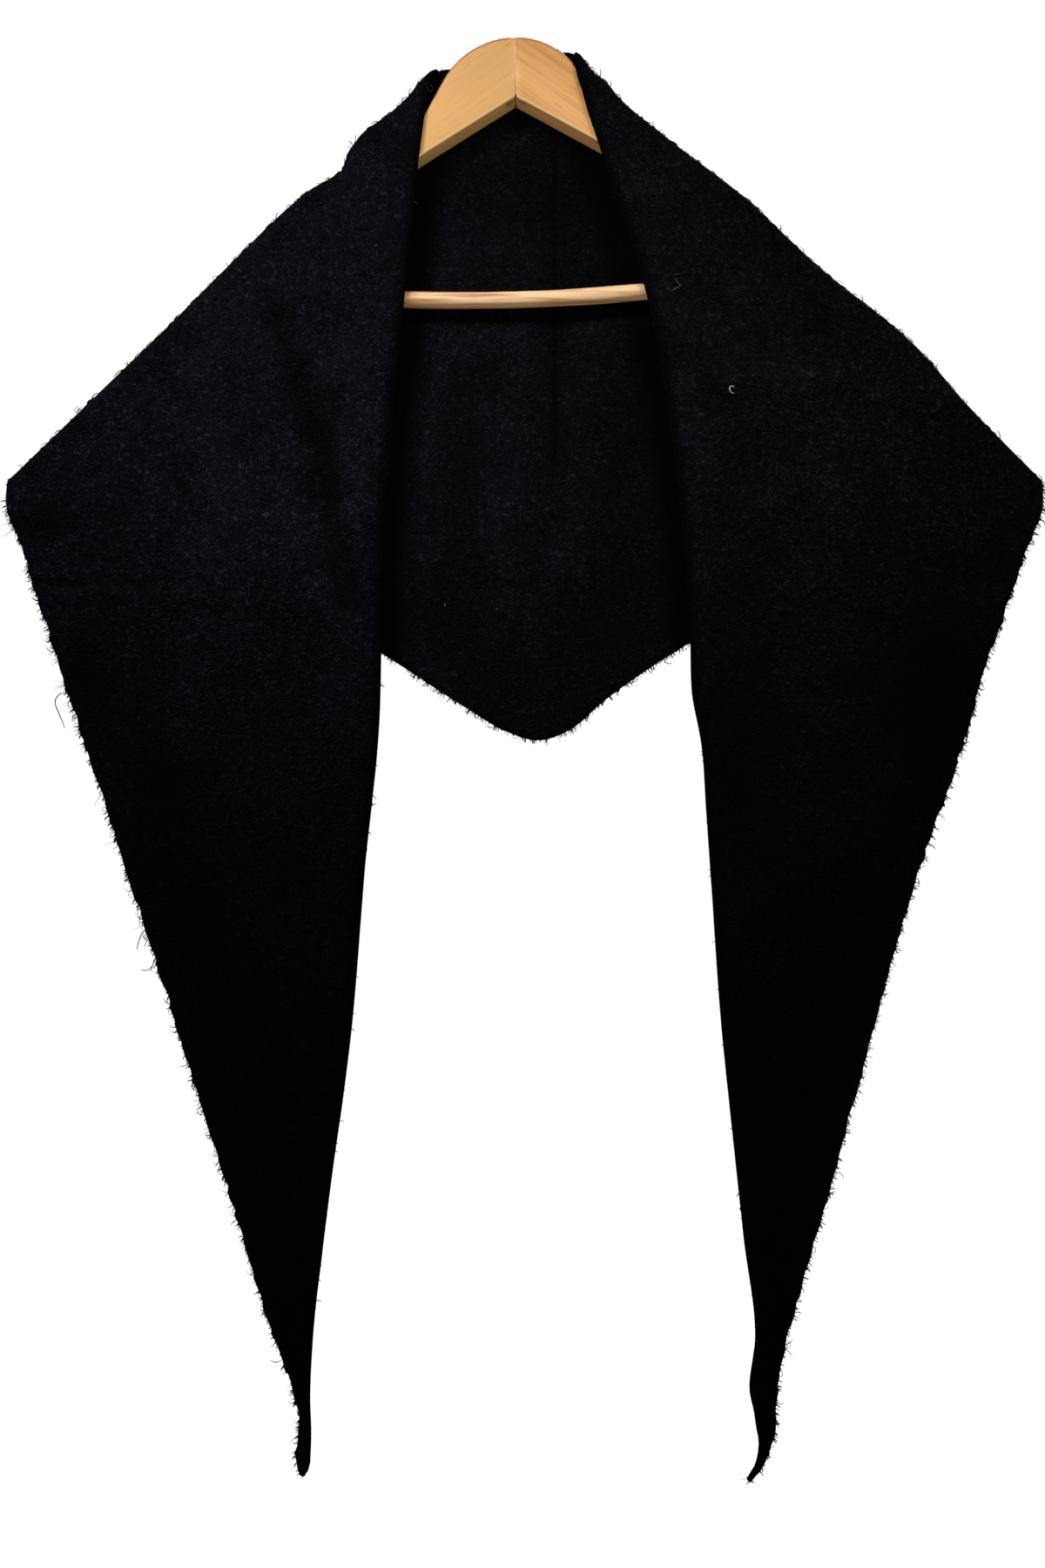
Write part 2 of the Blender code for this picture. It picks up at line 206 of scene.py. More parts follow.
# Arms: how far out the hump's foot reaches, the rings along the hump and along the
# arm past it, and how many of these the top takes to round
HUMP_FOOT = 0.045
HUMP_STEPS, ARM_STEPS = 48, 64
ARM_ROUNDS_OVER = 20
SHARP_FROM = radians(50)

# Points of an arm's ring, from the foot behind over the top to the foot in front: how many each
# foot bevel and top corner has, and which ones get a painted highlight on the foot bevels, are
# darker along the hump's crown, or get a painted highlight beside the seam
BEVEL_POINTS, CORNER_POINTS = 5, 9
HIGHLIGHT_BEHIND, HIGHLIGHT_IN_FRONT = slice(1, 4), slice(-4, -1)
DARK_CROWN = slice(10, 22)
SEAM_RINGS, SEAM_FACE, SEAM_HIGHLIGHT = 2, slice(5, -5), 0.62

# Arm sections from the foot of the hump's flank to the end, in millimetres,
# mirrored for the left arm
ARM_SECTIONS = from_mm(
    # top x, top z, foot x, foot z
    (70, -60.5, 66, -81.3),
    (90, -69.5, 88, -95.5),
    (120, -94.8, 108, -115),
    (150, -115.5, 136, -136),
    (190, -151, 173, -168),
    (211, -171.4, 193, -187.5),
    (221, -182.5, 203, -198.5),
    (225, -189, 213, -201.5),
)

# Grid of the cloth: steps round the shoulder fold, along it, down a front and
# across the back, and how much closer together they are at the neck
TURN_STEPS = 8
SHOULDER_STEPS = 88
FRONT_ROWS = 200
BACK_COLUMNS = 124
NECK_CROWDING = 0.20

# Rows: a front's length down, how far its outer end lags so that rows turn level,
# the share of the way down by which they do, and the slant of the shoulders
# across the back's rows
TAIL_DROP = 0.69
ROWS_LEVEL_BY = 0.386
ROWS_TURN_AFTER = 0.08
SLANT = 1.35

# Points of a line that distances are measured to
SHOULDER_LINE = 161

# Unevenness of the cloth: size of a lump, its height
LUMPS = ((0.045, 0.0009), (0.016, 0.0006), (0.008, 0.00035))
EDGE_WAVE, EDGE_WAVE_SIZE = 0.0012, 0.006

# The fronts' inner edges roll back towards the hanger below the board
ROLL_REACH = 0.015
ROLL_DEPTH = 0.0070
ROLL_ENDS_BY = 0.20
ROLL_ABOVE_BAR = 0.22
ROLL_FROM_Z, ROLL_STARTS_OVER = -0.090, 0.04
ROLL_FULL_FROM_Z, ROLL_GROWS_OVER = -0.200, 0.06

# Painted shade beside the fronts' inner edges, on the front's rolled border and on the strip of the
# back behind it: least tone, width of the darkest band, and how far it takes from there to the full
# tone
SHADED_BORDER, BORDER_BAND, BORDER_REACH = 0.12, 0.0, 0.0075
SHADED_BACK, BACK_BAND, BACK_REACH = 0.07, 0.008, 0.022

# Painted shade and light in the folds: the nap is darker in troughs than on ridges: share for each
# metre of height, and the height from which it isn't paler still
FOLD_SHADE = 210.0
PALEST_HEIGHT = 0.0004

# Patches where the nap is darker or paler: x, z, half width, half height, tone. The front's lie on
# the fronts, the back's inside the back.
FRONT_PATCHES = (
    (-0.336, -0.350, 0.032, 0.014, 0.20),
    (-0.306, -0.457, 0.020, 0.042, 0.20),
    (-0.268, -0.392, 0.013, 0.004, 0.30),
    (-0.322, -0.392, 0.018, 0.004, 0.30),
    (-0.253, -0.534, 0.034, 0.024, 0.45),
    (-0.130, -0.530, 0.035, 0.040, 0.70),
    (-0.175, -0.300, 0.030, 0.060, 0.85),
    (-0.255, -0.500, 0.022, 0.022, 1.25),
    (0.304, -0.470, 0.050, 0.095, 0.12),
    (0.347, -0.380, 0.018, 0.012, 0.35),
    (0.262, -0.340, 0.010, 0.030, 0.60),
    (0.150, -0.510, 0.038, 0.075, 0.35),
    (0.185, -0.150, 0.032, 0.012, 0.72),
    (0.163, -0.255, 0.040, 0.008, 0.75),
)
BACK_PATCHES = (
    (0.000, -0.110, 0.070, 0.040, 0.62),
    (0.052, -0.140, 0.024, 0.050, 0.70),
    (0.010, -0.385, 0.050, 0.012, 0.75),
    (-0.040, -0.250, 0.050, 0.060, 1.10),
)

# Patches of the fronts that look like blue steel: x, z, half width, half height
STEEL_PATCHES = (
    (-0.150, -0.185, 0.040, 0.030),
    (-0.195, -0.252, 0.045, 0.030),
    (-0.160, -0.325, 0.025, 0.060),
    (-0.108, -0.250, 0.018, 0.035),
    (-0.195, -0.418, 0.065, 0.036),
    (-0.272, -0.500, 0.025, 0.026),
)

# Curly nap: yarn curls that lie on each side of a stretch. Their roots and both
# ends of their paths are sunk a little into it.
NAPS = (
    # name, stretch, curls outside, curls inside, seed
    ("nap_front_left", "left", 5400, 1900, 101),
    ("nap_front_right", "right", 5400, 1900, 102),
    ("nap_back_outside", "back", 5800, 0, 103),
    ("nap_back_inside", "back", 0, 6000, 104),
)
CURL_POINTS = 5
CURL_LENGTH = 0.0050, 0.0110
SHORTEST_CURL = 0.0010
CURL_BEND = 1.0, 4.5
CURL_RISE = 0.0002, 0.0007
CURL_RADIUS = 0.00020, 0.00042
CURL_THINNING = 0.6
CURL_ROOT, PATH_SUNK = 0.0002, 0.0001
CURL_TONE = 0.35, 4.2

# Loose hairs in tufts along the cloth's edges, and short yarn ends between them.
# Habits: how far astray, how much they sag, how much they curl, points, thin end.
# Tufts spread by x, y and z.
HAIR_HABITS = 0.60, 0.55, 1.0, 7, 0.4
HAIR_LENGTH = 0.0022, 0.0110
HAIR_RADIUS = 0.00014, 0.00028
TUFT_SPREAD = 0.00088, 0.00044, 0.00132
TUFT_HAIRS = 2, 7
FRINGE_HABITS = 0.45, 0.7, 0.35, 4, 0.6
FRINGE_LENGTH = 0.0018, 0.0056
FRINGE_RADIUS = 0.00028, 0.00064

# Where edge yarns start: how far inside the edge, and how far off the cloth's
# middle, as a share of its thickness. Then how high they rise, as a share of
# their length, and how much their curl varies.
EDGE_ROOT, EDGE_ROOT_SPREAD = 0.0006, 0.4
EDGE_RISE, EDGE_CURL_SPREAD = 0.12, 1.6
EDGE_YARNS = (
    # name, seed, and for each edge: tufts for each metre, scale of the hairs'
    # length, yarn ends for each metre
    ("edge_yarns_left", 201, (
        ("outer left", 105, 1.00, 880),
        ("tip left", 150, 0.60, 500),
        ("inner left", 1, 0.35, 40),
    )),
    ("edge_yarns_right", 202, (
        ("outer right", 85, 0.75, 880),
        ("tip right", 150, 0.60, 500),
        ("inner right", 1, 0.35, 40),
    )),
    ("edge_yarns_back", 203, (
        ("neck", 40, 0.35, 260),
        ("lower back", 105, 0.70, 880),
    )),
)

# Single yarns: the stretch they lie on, height of their middle over the cloth's
# middle layer, radius, tone, and the x and z of their points, all but the tone in
# millimetres. Those that hang leave the cloth at its edge.
LYING_POINTS = 13
LIES, HANGS = 1.8, 0
BLACK_STRAYS = (
    ("left", LIES, 0.3, 5, ((-65, -33.6), (-61.8, -38), (-60.2, -42), (-58.2, -41),
        (-58.6, -37.5), (-61.2, -35.2))),
    ("left", LIES, 0.3, 2.8, ((-109.2, -374.5), (-107.8, -368), (-104.5, -364), (-101.5, -366.5),
        (-100.3, -374), (-99.9, -380))),
    ("left", LIES, 0.28, 2.2, ((-99.9, -383), (-100.4, -389), (-101.2, -394.5))),
    ("left", LIES, 0.32, 4, ((-235.2, -598.5), (-232.2, -604.2), (-227.8, -608.5),
        (-220, -608.2), (-213, -607.4), (-208.6, -602))),
    ("left", LIES, 0.28, 3, ((-222.5, -590), (-218.4, -595.6), (-220, -600))),
    ("left", LIES, 0.26, 2.6, ((-266, -360), (-258.5, -356), (-255, -360))),
    ("left", LIES, 0.26, 2.6, ((-185, -450), (-181.5, -444), (-177, -447))),
    ("back", LIES, 0.28, 3.4, ((30, -299.5), (29.1, -302.3), (29.8, -305.2))),
    ("back", LIES, 0.26, 2.4, ((-50, -270), (-46, -266), (-44, -271))),
    ("left", HANGS, 0.36, 1, ((-316, -474), (-319.5, -471.2), (-324, -471.4), (-327.8, -476.3),
        (-325.3, -484.6), (-323.2, -489.7), (-320.9, -496.2))),
    ("left", HANGS, 0.3, 1, ((-312, -485), (-315, -487.2), (-315.5, -492))),
    ("left", HANGS, 0.36, 1, ((-261.5, -638), (-265.5, -642.5), (-268.5, -649),
        (-269.9, -654.8))),
    ("left", HANGS, 0.3, 1, ((-259, -642), (-262, -647), (-264.6, -652.8))),
    ("left", HANGS, 0.26, 1, ((-266, -626), (-267.6, -632), (-267.8, -638))),
    ("left", HANGS, 0.36, 1, ((-254.5, -656), (-257, -662), (-259.9, -670))),
    ("left", HANGS, 0.32, 1, ((-258.5, -666), (-262, -669.2), (-266.6, -669.1))),
    ("right", HANGS, 0.7, 1, ((64, -34.5), (66.2, -31), (67.6, -29.2))),
    ("right", HANGS, 0.5, 1, ((65, -35), (68.4, -32.2), (69.8, -31.8))),
)
PALE_LINT = (
    ("right", LIES, 0.34, 0.55, ((115, -174.5), (116.8, -177.5), (119, -180.2), (116, -182),
        (112.8, -183.8))),
    ("right", LIES, 0.24, 0.3, ((114.8, -172.5), (117, -171.9), (119.2, -171.8))),
    ("right", LIES, 0.6, 2.2, ((157.8, -252.9), (154.5, -252.5), (154.2, -254.5),
        (155.2, -256.5), (157.2, -257.4))),
    ("right", LIES, 0.34, 1.3, ((208, -707.9), (208.6, -708.3), (209.2, -708.7))),
    ("right", LIES, 0.3, 0.9, ((184, -731.6), (185.4, -731.9), (186.8, -731.7))),
    ("back", LIES, 0.55, 1.3, ((-51.1, -404.8), (-50.7, -405), (-50.3, -405.2))),
    ("back", LIES, 0.55, 1.3, ((-13.1, -408.1), (-12.7, -408.3), (-12.3, -408.5))),
    ("left", LIES, 0.4, 0.5, ((-97.5, -151), (-98.5, -151.6), (-99.2, -152.2))),
)

# The nap's pattern: level lines of its noise, as radians over its range, and how
# sharp they are. Then the waves for each metre of its grain, of the clumps and
# patches of its curls, and of its tints.
CURL_LINES, RIDGE_POWER = 19.0, 4.0
NAP_GRAIN, NAP_CLUMPS, NAP_PATCHES, NAP_TINTS = 900.0, 240.0, 30.0, 22.0

# Painted shade by height: the nap is darker under the board and far darker down the tails, where
# less light falls. From z, to z, and the tones there
HEIGHT_SHADE = (
    (-0.30, -0.12, 1.0, 0.80),
    (-0.60, -0.34, 0.34, 1.0),
    (-0.92, -0.60, 0.20, 1.0),
)
# Painted shade over the back, which the fronts shade
BACK_SHADE = 0.78

# Painted shade along the storage crease down the middle of the back: its x, half its width, how
# much it darkens, and the z that it fades between
CREASE_X = 0.030
CREASE_WIDTH = 0.0006, 0.0032
CREASE_SHADE = 0.62
CREASE_FADES = -0.325, -0.295

BLUE_BLACK = (0.0040, 0.0034, 0.0063)
STEEL_BLACK = (0.0031, 0.0034, 0.0058)
GREY_BLACK = (0.0028, 0.0027, 0.0036)
PALE_FIBRE = (0.200, 0.180, 0.155)
GREY_FIBRE = (0.220, 0.215, 0.205)

# Wood: waves for each metre across the grain, detail, and how many times longer
# than wide, of its bands, its streaks and its pores
GRAIN_BANDS = 55.0, 2.0, 7.0
GRAIN_STREAKS = 330.0, 4.0, 26.0
GRAIN_PORES = 1300.0, 1.0, 20.0
GRAIN_TURN = radians(35)
HONEY_LIGHT = (0.84, 0.475, 0.168)
HONEY_DARK = (0.69, 0.34, 0.104)
ORANGE_LIGHT = (0.82, 0.435, 0.152)
ORANGE_DARK = (0.63, 0.27, 0.072)
GLUE = (0.38, 0.25, 0.13)
# Painted highlight on the arms' foot bevels and beside the seam
WOOD_HIGHLIGHT = (1.0, 0.74, 0.40)
# Darker colour along the hump's crown, and painted shade on the bar
WOOD_RIM_AND_SHADE = (0.42, 0.17, 0.045)
WOOD_PORE = (0.34, 0.15, 0.05)
# Painted shade on the bar's underside, from this sine of the way round it, and a painted shadow
# with darker wood by its left end, where it goes under the left front
BAR_UNDERSIDE_SHADE, BAR_SHADE_FROM, BAR_SHADE_OVER = 0.55, -0.25, 0.6
BAR_STAIN_AND_SHADOW, BAR_STAIN_AND_SHADOW_X, BAR_STAIN_AND_SHADOW_WIDTH = 0.60, -0.0800, 0.0045
PALE_LIGHT = (0.86, 0.56, 0.31)
PALE_DARK = (0.46, 0.22, 0.075)


def settle(share):
    """Smooth step from 0 to 1: 3 s squared less 2 s cubed."""
    share = np.clip(share, 0, 1)
    return share * share * (3 - 2 * share)


def along(table, shares):
    """Points at shares of the length of a smooth curve through a table's points.

    Between two points it is the cubic with their places and slopes, and a
    slope is the one through both neighbours.
    """
    points = np.array(table)
    steps = np.linalg.norm(np.diff(points, axis=0), axis=1)
    at = np.concatenate([[0], np.cumsum(steps)]) / steps.sum()
    slopes = np.gradient(points, at, axis=0)
    shares = np.asarray(shares, float)
    i = np.clip(np.searchsorted(at, shares, side="right") - 1, 0, len(steps) - 1)
    span = (at[i + 1] - at[i])[..., None]
    t = (shares - at[i])[..., None] / span
    rise = t * t * (3 - 2 * t)
    leave = t * (1 - t) ** 2 * span * slopes[i]
    arrive = t * t * (t - 1) * span * slopes[i + 1]
    return points[i] * (1 - rise) + points[i + 1] * rise + leave + arrive


def to_line(x, z, line):
    """Distance of each point to a line of points, and the share of the line nearest to it."""
    start, step = line[:-1], np.diff(line, axis=0)
    dx = x[..., None] - start[:, 0]
    dz = z[..., None] - start[:, 1]
    reach = (dx * step[:, 0] + dz * step[:, 1]) / (step**2).sum(axis=1)
    reach = np.clip(reach, 0, 1)
    far = np.hypot(dx - reach * step[:, 0], dz - reach * step[:, 1])
    nearest = far.argmin(axis=-1)
    picked = np.take_along_axis(reach, nearest[..., None], -1)[..., 0]
    return far.min(axis=-1), (nearest + picked) / len(step)


def soft_folds(x, z, folds):
    """Height of the folds: each is a bell across its own line, fading past both ends."""
    height = np.zeros_like(x)
    for x0, z0, x1, z1, half_width, peak in folds:
        away, _ = to_line(x, z, np.array([(x0, z0), (x1, z1)]))
        height += peak * np.exp(-((away / half_width) ** 2))
    return height


def lumps(x, z, size, seed):
    """Smooth random heights from -1 to 1: a lattice of random values, blended by smooth steps."""
    count = 97
    lattice = np.random.default_rng(seed).uniform(-1, 1, (count, count))
    u, v = x / size, z / size
    i, j = np.floor(u).astype(int), np.floor(v).astype(int)
    a, b = settle(u - i), settle(v - j)
    near, far = i % count, (i + 1) % count
    low, high = j % count, (j + 1) % count
    bottom = lattice[near, low] * (1 - a) + lattice[far, low] * a
    top = lattice[near, high] * (1 - a) + lattice[far, high] * a
    return bottom * (1 - b) + top * b


def unevenness(x, z, seed):
    """Height of the cloth's lumps, large and small."""
    return sum(high * lumps(x, z, size, seed + k) for k, (size, high) in enumerate(LUMPS))


def depth(x, z, shoulder):
    """Distance of the cloth from the plane of the hanger, without its folds.

    From the crest of the shoulder fold it turns down along a quarter circle,
    hangs at that circle's radius, and settles to the depth of a free sheet.
    """
    below, share = to_line(x, z, along(shoulder, np.linspace(0, 1, SHOULDER_LINE)))
    past_arm = settle((share - ARM_END_SHARE) / TIGHTENS_OVER)
    radius = FOLD_RADIUS + (FREE_FOLD_RADIUS - FOLD_RADIUS) * past_arm
    turn = np.sqrt(1 - (1 - np.clip(below / radius, 0, 1)) ** 2)
    hang = radius + (HANG_DEPTH - radius) * settle(below / SETTLES_OVER)
    return hang * turn, settle(below / FOLD_RADIUS)


def patch(s, t, top, bottom, left, right):
    """Points stretched between four edges: s runs down and t runs across.

    A point lies on the straight line between the two side edges of its row,
    moved by what the top and bottom edges stand off their own chords there.
    """
    down, across = s[..., None], t[..., None]
    place = (1 - across) * left[:, None] + across * right[:, None]
    for table, weight in ((top, 1 - down), (bottom, down)):
        chord = (1 - across) * np.array(table[0]) + across * np.array(table[-1])
        place = place + weight * (along(table, t) - chord)
    return place


def turn_shares():
    """Places across a quarter turn, as shares of its radius: even steps of angle."""
    return 1 - np.cos(np.linspace(0, pi / 2, TURN_STEPS + 1))


def shoulder_shares():
    """Places along a shoulder fold, closer together at the neck."""
    s = np.linspace(0, 1, SHOULDER_STEPS + 1)
    return s * (1 - NECK_CROWDING + NECK_CROWDING * s)


def front(shoulder, inner, outer, folds, seed):
    """Middle points of a front: rows run down from the shoulder fold to the tail's tip.

    The inner edge rolls back towards the hanger, and the outer edge waves.
    """
    turned = turn_shares() * FOLD_RADIUS / TAIL_DROP
    hanging = np.linspace(turned[-1], 1, FRONT_ROWS - TURN_STEPS)[1:]
    s = np.concatenate([turned, hanging])
    started = 1 - np.exp(-((s / ROWS_TURN_AFTER) ** 2))
    edge_in = along(inner, s)
    edge_out = along(outer, s - ROWS_LEVEL_BY * s * (1 - s) * started)
    wave = lumps(edge_out[:, 1], edge_out[:, 0], EDGE_WAVE_SIZE, seed)
    edge_out[:, 0] += EDGE_WAVE * wave * started
    s_grid, t_grid = np.meshgrid(s, shoulder_shares(), indexing="ij")
    flat = patch(s_grid, t_grid, shoulder, (inner[-1], outer[-1]), edge_in, edge_out)
    x, z = flat[..., 0], flat[..., 1]
    away, free = depth(x, z, shoulder)
    width = np.linalg.norm(edge_out - edge_in, axis=1)[:, None]
    roll = np.clip(1 - t_grid * width / ROLL_REACH, 0, 1) ** 2 * ROLL_DEPTH
    begun = settle((ROLL_FROM_Z - z) / ROLL_STARTS_OVER)
    grown = settle((ROLL_FULL_FROM_Z - z) / ROLL_GROWS_OVER)
    roll *= ROLL_ABOVE_BAR * begun + (1 - ROLL_ABOVE_BAR) * grown
    roll *= settle((1 - s_grid) / ROLL_ENDS_BY)
    away = away + (soft_folds(x, z, folds) + unevenness(x, z, seed)) * free - roll
    return np.stack([x, -away, z], axis=-1)


def back():
    """Middle points of the back: rows run down from the neck edge to the lower corner."""
    s = shoulder_shares()
    edge_left, edge_right = along(SHOULDER_LEFT, s), along(SHOULDER_RIGHT, s)
    width = np.linalg.norm(edge_right - edge_left, axis=1, keepdims=True)
    turned = turn_shares() * SLANT * FOLD_RADIUS / width
    hanging = np.linspace(0, 1, BACK_COLUMNS - 2 * TURN_STEPS)
    hanging = turned[:, -1:] + (1 - 2 * turned[:, -1:]) * hanging
    t = np.hstack([turned[:, :-1], hanging, 1 - turned[:, -2::-1]])
    s_grid = np.repeat(s[:, None], t.shape[1], axis=1)
    flat = patch(s_grid, t, NECK, LOWER_BACK, edge_left, edge_right)
    x, z = flat[..., 0], flat[..., 1]
    left_depth, left_free = depth(x, z, SHOULDER_LEFT)
    right_depth, right_free = depth(x, z, SHOULDER_RIGHT)
    away = np.minimum(left_depth, right_depth)
    free = np.minimum(left_free, right_free)
    away = away + (soft_folds(x, z, FOLDS_BACK) + unevenness(x, z, 31)) * free
    return np.stack([x, away, z], axis=-1)


def grid_quads(at):
    """Quads of a grid of point numbers: each runs down, across and up again."""
    corners = at[:-1, :-1], at[1:, :-1], at[1:, 1:], at[:-1, 1:]
    return np.stack(corners, axis=-1).reshape(-1, 4)


def unit(vectors):
    """The same directions, one long."""
    length = np.linalg.norm(vectors, axis=-1, keepdims=True)
    return vectors / np.maximum(length, 1e-12)


def point_normals(points, quads):
    """Each point's normal: the sum of its quads' normals, each as long as the quad's area."""
    a, b, c, d = (points[quads[:, k]] for k in range(4))
    face = np.cross(c - a, d - b)
    total = np.zeros_like(points)
    for k in range(4):
        np.add.at(total, quads[:, k], face)
    return unit(total)


def made(name, points, faces, material, tones=None):
    """A piece of the object from points and faces, smooth, riding on the one body.

    Its tones, one for each point, are how light the material is there.
    """
    mesh = bpy.data.meshes.new(name)
    mesh.from_pydata(points.tolist(), [], faces)
    mesh.materials.append(material)
    mesh.shade_smooth()
    if tones is not None:
        mesh.attributes.new("tone", "FLOAT", "POINT").data.foreach_set("value", tones)
    piece = bpy.data.objects.new(name, mesh)
    bpy.context.scene.collection.objects.link(piece)
    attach(piece, "root")
    return piece


def continuous_cloth():
    """The three stretches as one sheet: its points, normals, quads, edges and stretches.

    A front's first row is the back's side column, the crest of its shoulder
    fold. Normals point away from the hanger. The edges run once round the sheet.
    """
    behind = back()
    left = front(SHOULDER_LEFT, INNER_LEFT, OUTER_LEFT, FOLDS_LEFT, 11)
    right = front(SHOULDER_RIGHT, INNER_RIGHT, OUTER_RIGHT, FOLDS_RIGHT, 21)
    behind[:, 0] = left[0]
    behind[:, -1] = right[0]
    at_back = np.arange(behind[..., 0].size).reshape(behind.shape[:2])
    rest = np.arange(left[1:, :, 0].size).reshape(left[1:].shape[:2])
    at_left = np.vstack([at_back[:, 0], at_back.size + rest])
    at_right = np.vstack([at_back[:, -1], at_back.size + rest.size + rest])
    points = np.vstack([p.reshape(-1, 3) for p in (behind, left[1:], right[1:])])
    quads = np.vstack(
        [grid_quads(at_back)[:, ::-1], grid_quads(at_left)[:, ::-1], grid_quads(at_right)]
    )
    edges = {
        "neck": at_back[0],
        "inner right": at_right[:, 0],
        "tip right": at_right[-1],
        "outer right": at_right[::-1, -1],
        "lower back": at_back[-1, ::-1],
        "outer left": at_left[:, -1],
        "tip left": at_left[-1, ::-1],
        "inner left": at_left[::-1, 0],
    }
    stretches = {"back": at_back, "left": at_left, "right": at_right}
    return points, point_normals(points, quads), quads, edges, stretches


def rim_outwards(points, normals, rim):
    """For each point of the rim, the way out of the cloth in its own surface; else nothing."""
    line = points[rim]
    ahead = unit(np.roll(line, -1, axis=0) - np.roll(line, 1, axis=0))
    outwards = np.zeros_like(points)
    outwards[rim] = unit(np.cross(ahead, normals[rim]))
    return outwards


def walled(points, normals, quads, rim, outwards):
    """The sheet with its thickness: both sides, and a rim that is rounded by a line of points."""
    count = len(points)
    edge = points[rim] + outwards[rim] * EDGE_ROUND
    all_points = np.vstack([points + normals * WALL / 2, points - normals * WALL / 2, edge])
    here, after = rim, np.roll(rim, -1)
    middle = 2 * count + np.arange(len(rim))
    middle_after = np.roll(middle, -1)
    upper = np.stack([after, here, middle, middle_after], axis=-1)
    lower = np.stack([middle_after, middle, here + count, after + count], axis=-1)
    return all_points, np.vstack([quads, quads[:, ::-1] + count, upper, lower])


def tubes(paths, normals, radii, sides=3):
    """Thin closed tubes along paths of equally many points.

    Each point has a ring of a few points at its radius, square to the path, and
    the two ends are flat. Returns the points, the side quads and the end faces.
    """
    ahead = unit(np.gradient(paths, axis=1))
    beside = unit(np.cross(ahead, normals[:, None] + 1e-4))
    above = np.cross(beside, ahead)
    turn = 2 * pi * np.arange(sides) / sides
    ring = np.cos(turn)[:, None] * beside[:, :, None] + np.sin(turn)[:, None] * above[:, :, None]
    points = paths[:, :, None] + radii[:, :, None, None] * ring
    at = np.arange(points[..., 0].size).reshape(points.shape[:3])
    beside_at = np.roll(at, -1, axis=2)
    quads = np.stack([at[:, :-1], at[:, 1:], beside_at[:, 1:], beside_at[:, :-1]], axis=-1)
    ends = np.vstack([at[:, 0], at[:, -1, ::-1]])
    return points.reshape(-1, 3), quads.reshape(-1, 4), ends


def curl_paths(roots, along_way, beside_way, normals, heading, bend, length, rise, count):
    """Paths that bend evenly as they run: an arc in the cloth's surface that rises and dips.

    The heading turns by the bend from one end to the other, the steps add up to
    the length, and the height is the rise times a half wave, from just under
    the surface.
    """
    u = np.linspace(0, 1, count)
    middle = (u[:-1] + u[1:]) / 2
    turn = heading[:, None] + bend[:, None] * middle
    step = length[:, None] / (count - 1)
    x = np.pad(np.cumsum(np.cos(turn) * step, axis=1), ((0, 0), (1, 0)))
    y = np.pad(np.cumsum(np.sin(turn) * step, axis=1), ((0, 0), (1, 0)))
    high = rise[:, None] * np.sin(pi * u) - PATH_SUNK
    return (
        roots[:, None]
        + x[..., None] * along_way[:, None]
        + y[..., None] * beside_way[:, None]
        + high[..., None] * normals[:, None]
    )


def scatter(points, normals, at, count, rng):
    """Random places spread evenly over a stretch: cells drawn by area, then a place in each."""
    p, n = points[at], normals[at]
    down, across = p[1:, :-1] - p[:-1, :-1], p[:-1, 1:] - p[:-1, :-1]
    area = np.linalg.norm(np.cross(down, across), axis=-1)
    picked = rng.choice(area.size, size=count, p=(area / area.sum()).ravel())
    i, j = np.unravel_index(picked, area.shape)
    a, b = rng.random((2, count, 1))
    place = (1 - a) * ((1 - b) * p[i, j] + b * p[i, j + 1])
    place += a * ((1 - b) * p[i + 1, j] + b * p[i + 1, j + 1])
    normal = unit((1 - a) * n[i, j] + a * n[i + 1, j + 1])
    ahead = unit(down[i, j])
    return place, normal, unit(np.cross(normal, ahead))


def between(rng, limits, count):
    """Random numbers between two limits."""
    return rng.uniform(limits[0], limits[1], count)


def from_inner_edges(x, z):
    """Distance of each place to the nearer of the fronts' two inner edges, seen from the front."""
    lines = [along(table, np.linspace(0, 1, SHOULDER_LINE)) for table in (INNER_LEFT, INNER_RIGHT)]
    return np.minimum(to_line(x, z, lines[0])[0], to_line(x, z, lines[1])[0])


def cloth_tones(places, outside):
    """How light the nap is at each place, on the cloth's outer or inner side.

    Beside the fronts' inner edges it is darkened by painted shade: outside on the front's own
    rolled border, inside on the strip of the back that the border shadows.
    Troughs are darker than ridges, by the exponential of the height: painted shade and light. A
    patch changes the tone by a bell in x and z.
    """
    x, y, z = places.T
    away = from_inner_edges(x, z)
    least = np.where(outside, SHADED_BORDER, SHADED_BACK)
    band = np.where(outside, BORDER_BAND, BACK_BAND)
    reach = np.where(outside, BORDER_REACH, BACK_REACH)
    tones = least + (1 - least) * settle((away - band) / reach)
    front_height = np.where(x < 0, soft_folds(x, z, FOLDS_LEFT), soft_folds(x, z, FOLDS_RIGHT))
    height = np.where(y > 0, soft_folds(x, z, FOLDS_BACK), front_height)
    tones *= np.exp(FOLD_SHADE * np.minimum(np.where(outside, height, -height), PALEST_HEIGHT))
    for table, side in ((FRONT_PATCHES, y < 0), (BACK_PATCHES, (y > 0) & ~outside)):
        for x0, z0, half_width, half_height, tone in table:
            bell = np.exp(-(((x - x0) / half_width) ** 2) - ((z - z0) / half_height) ** 2)
            tones *= np.where(side, 1 + (tone - 1) * bell, 1)
    return tones


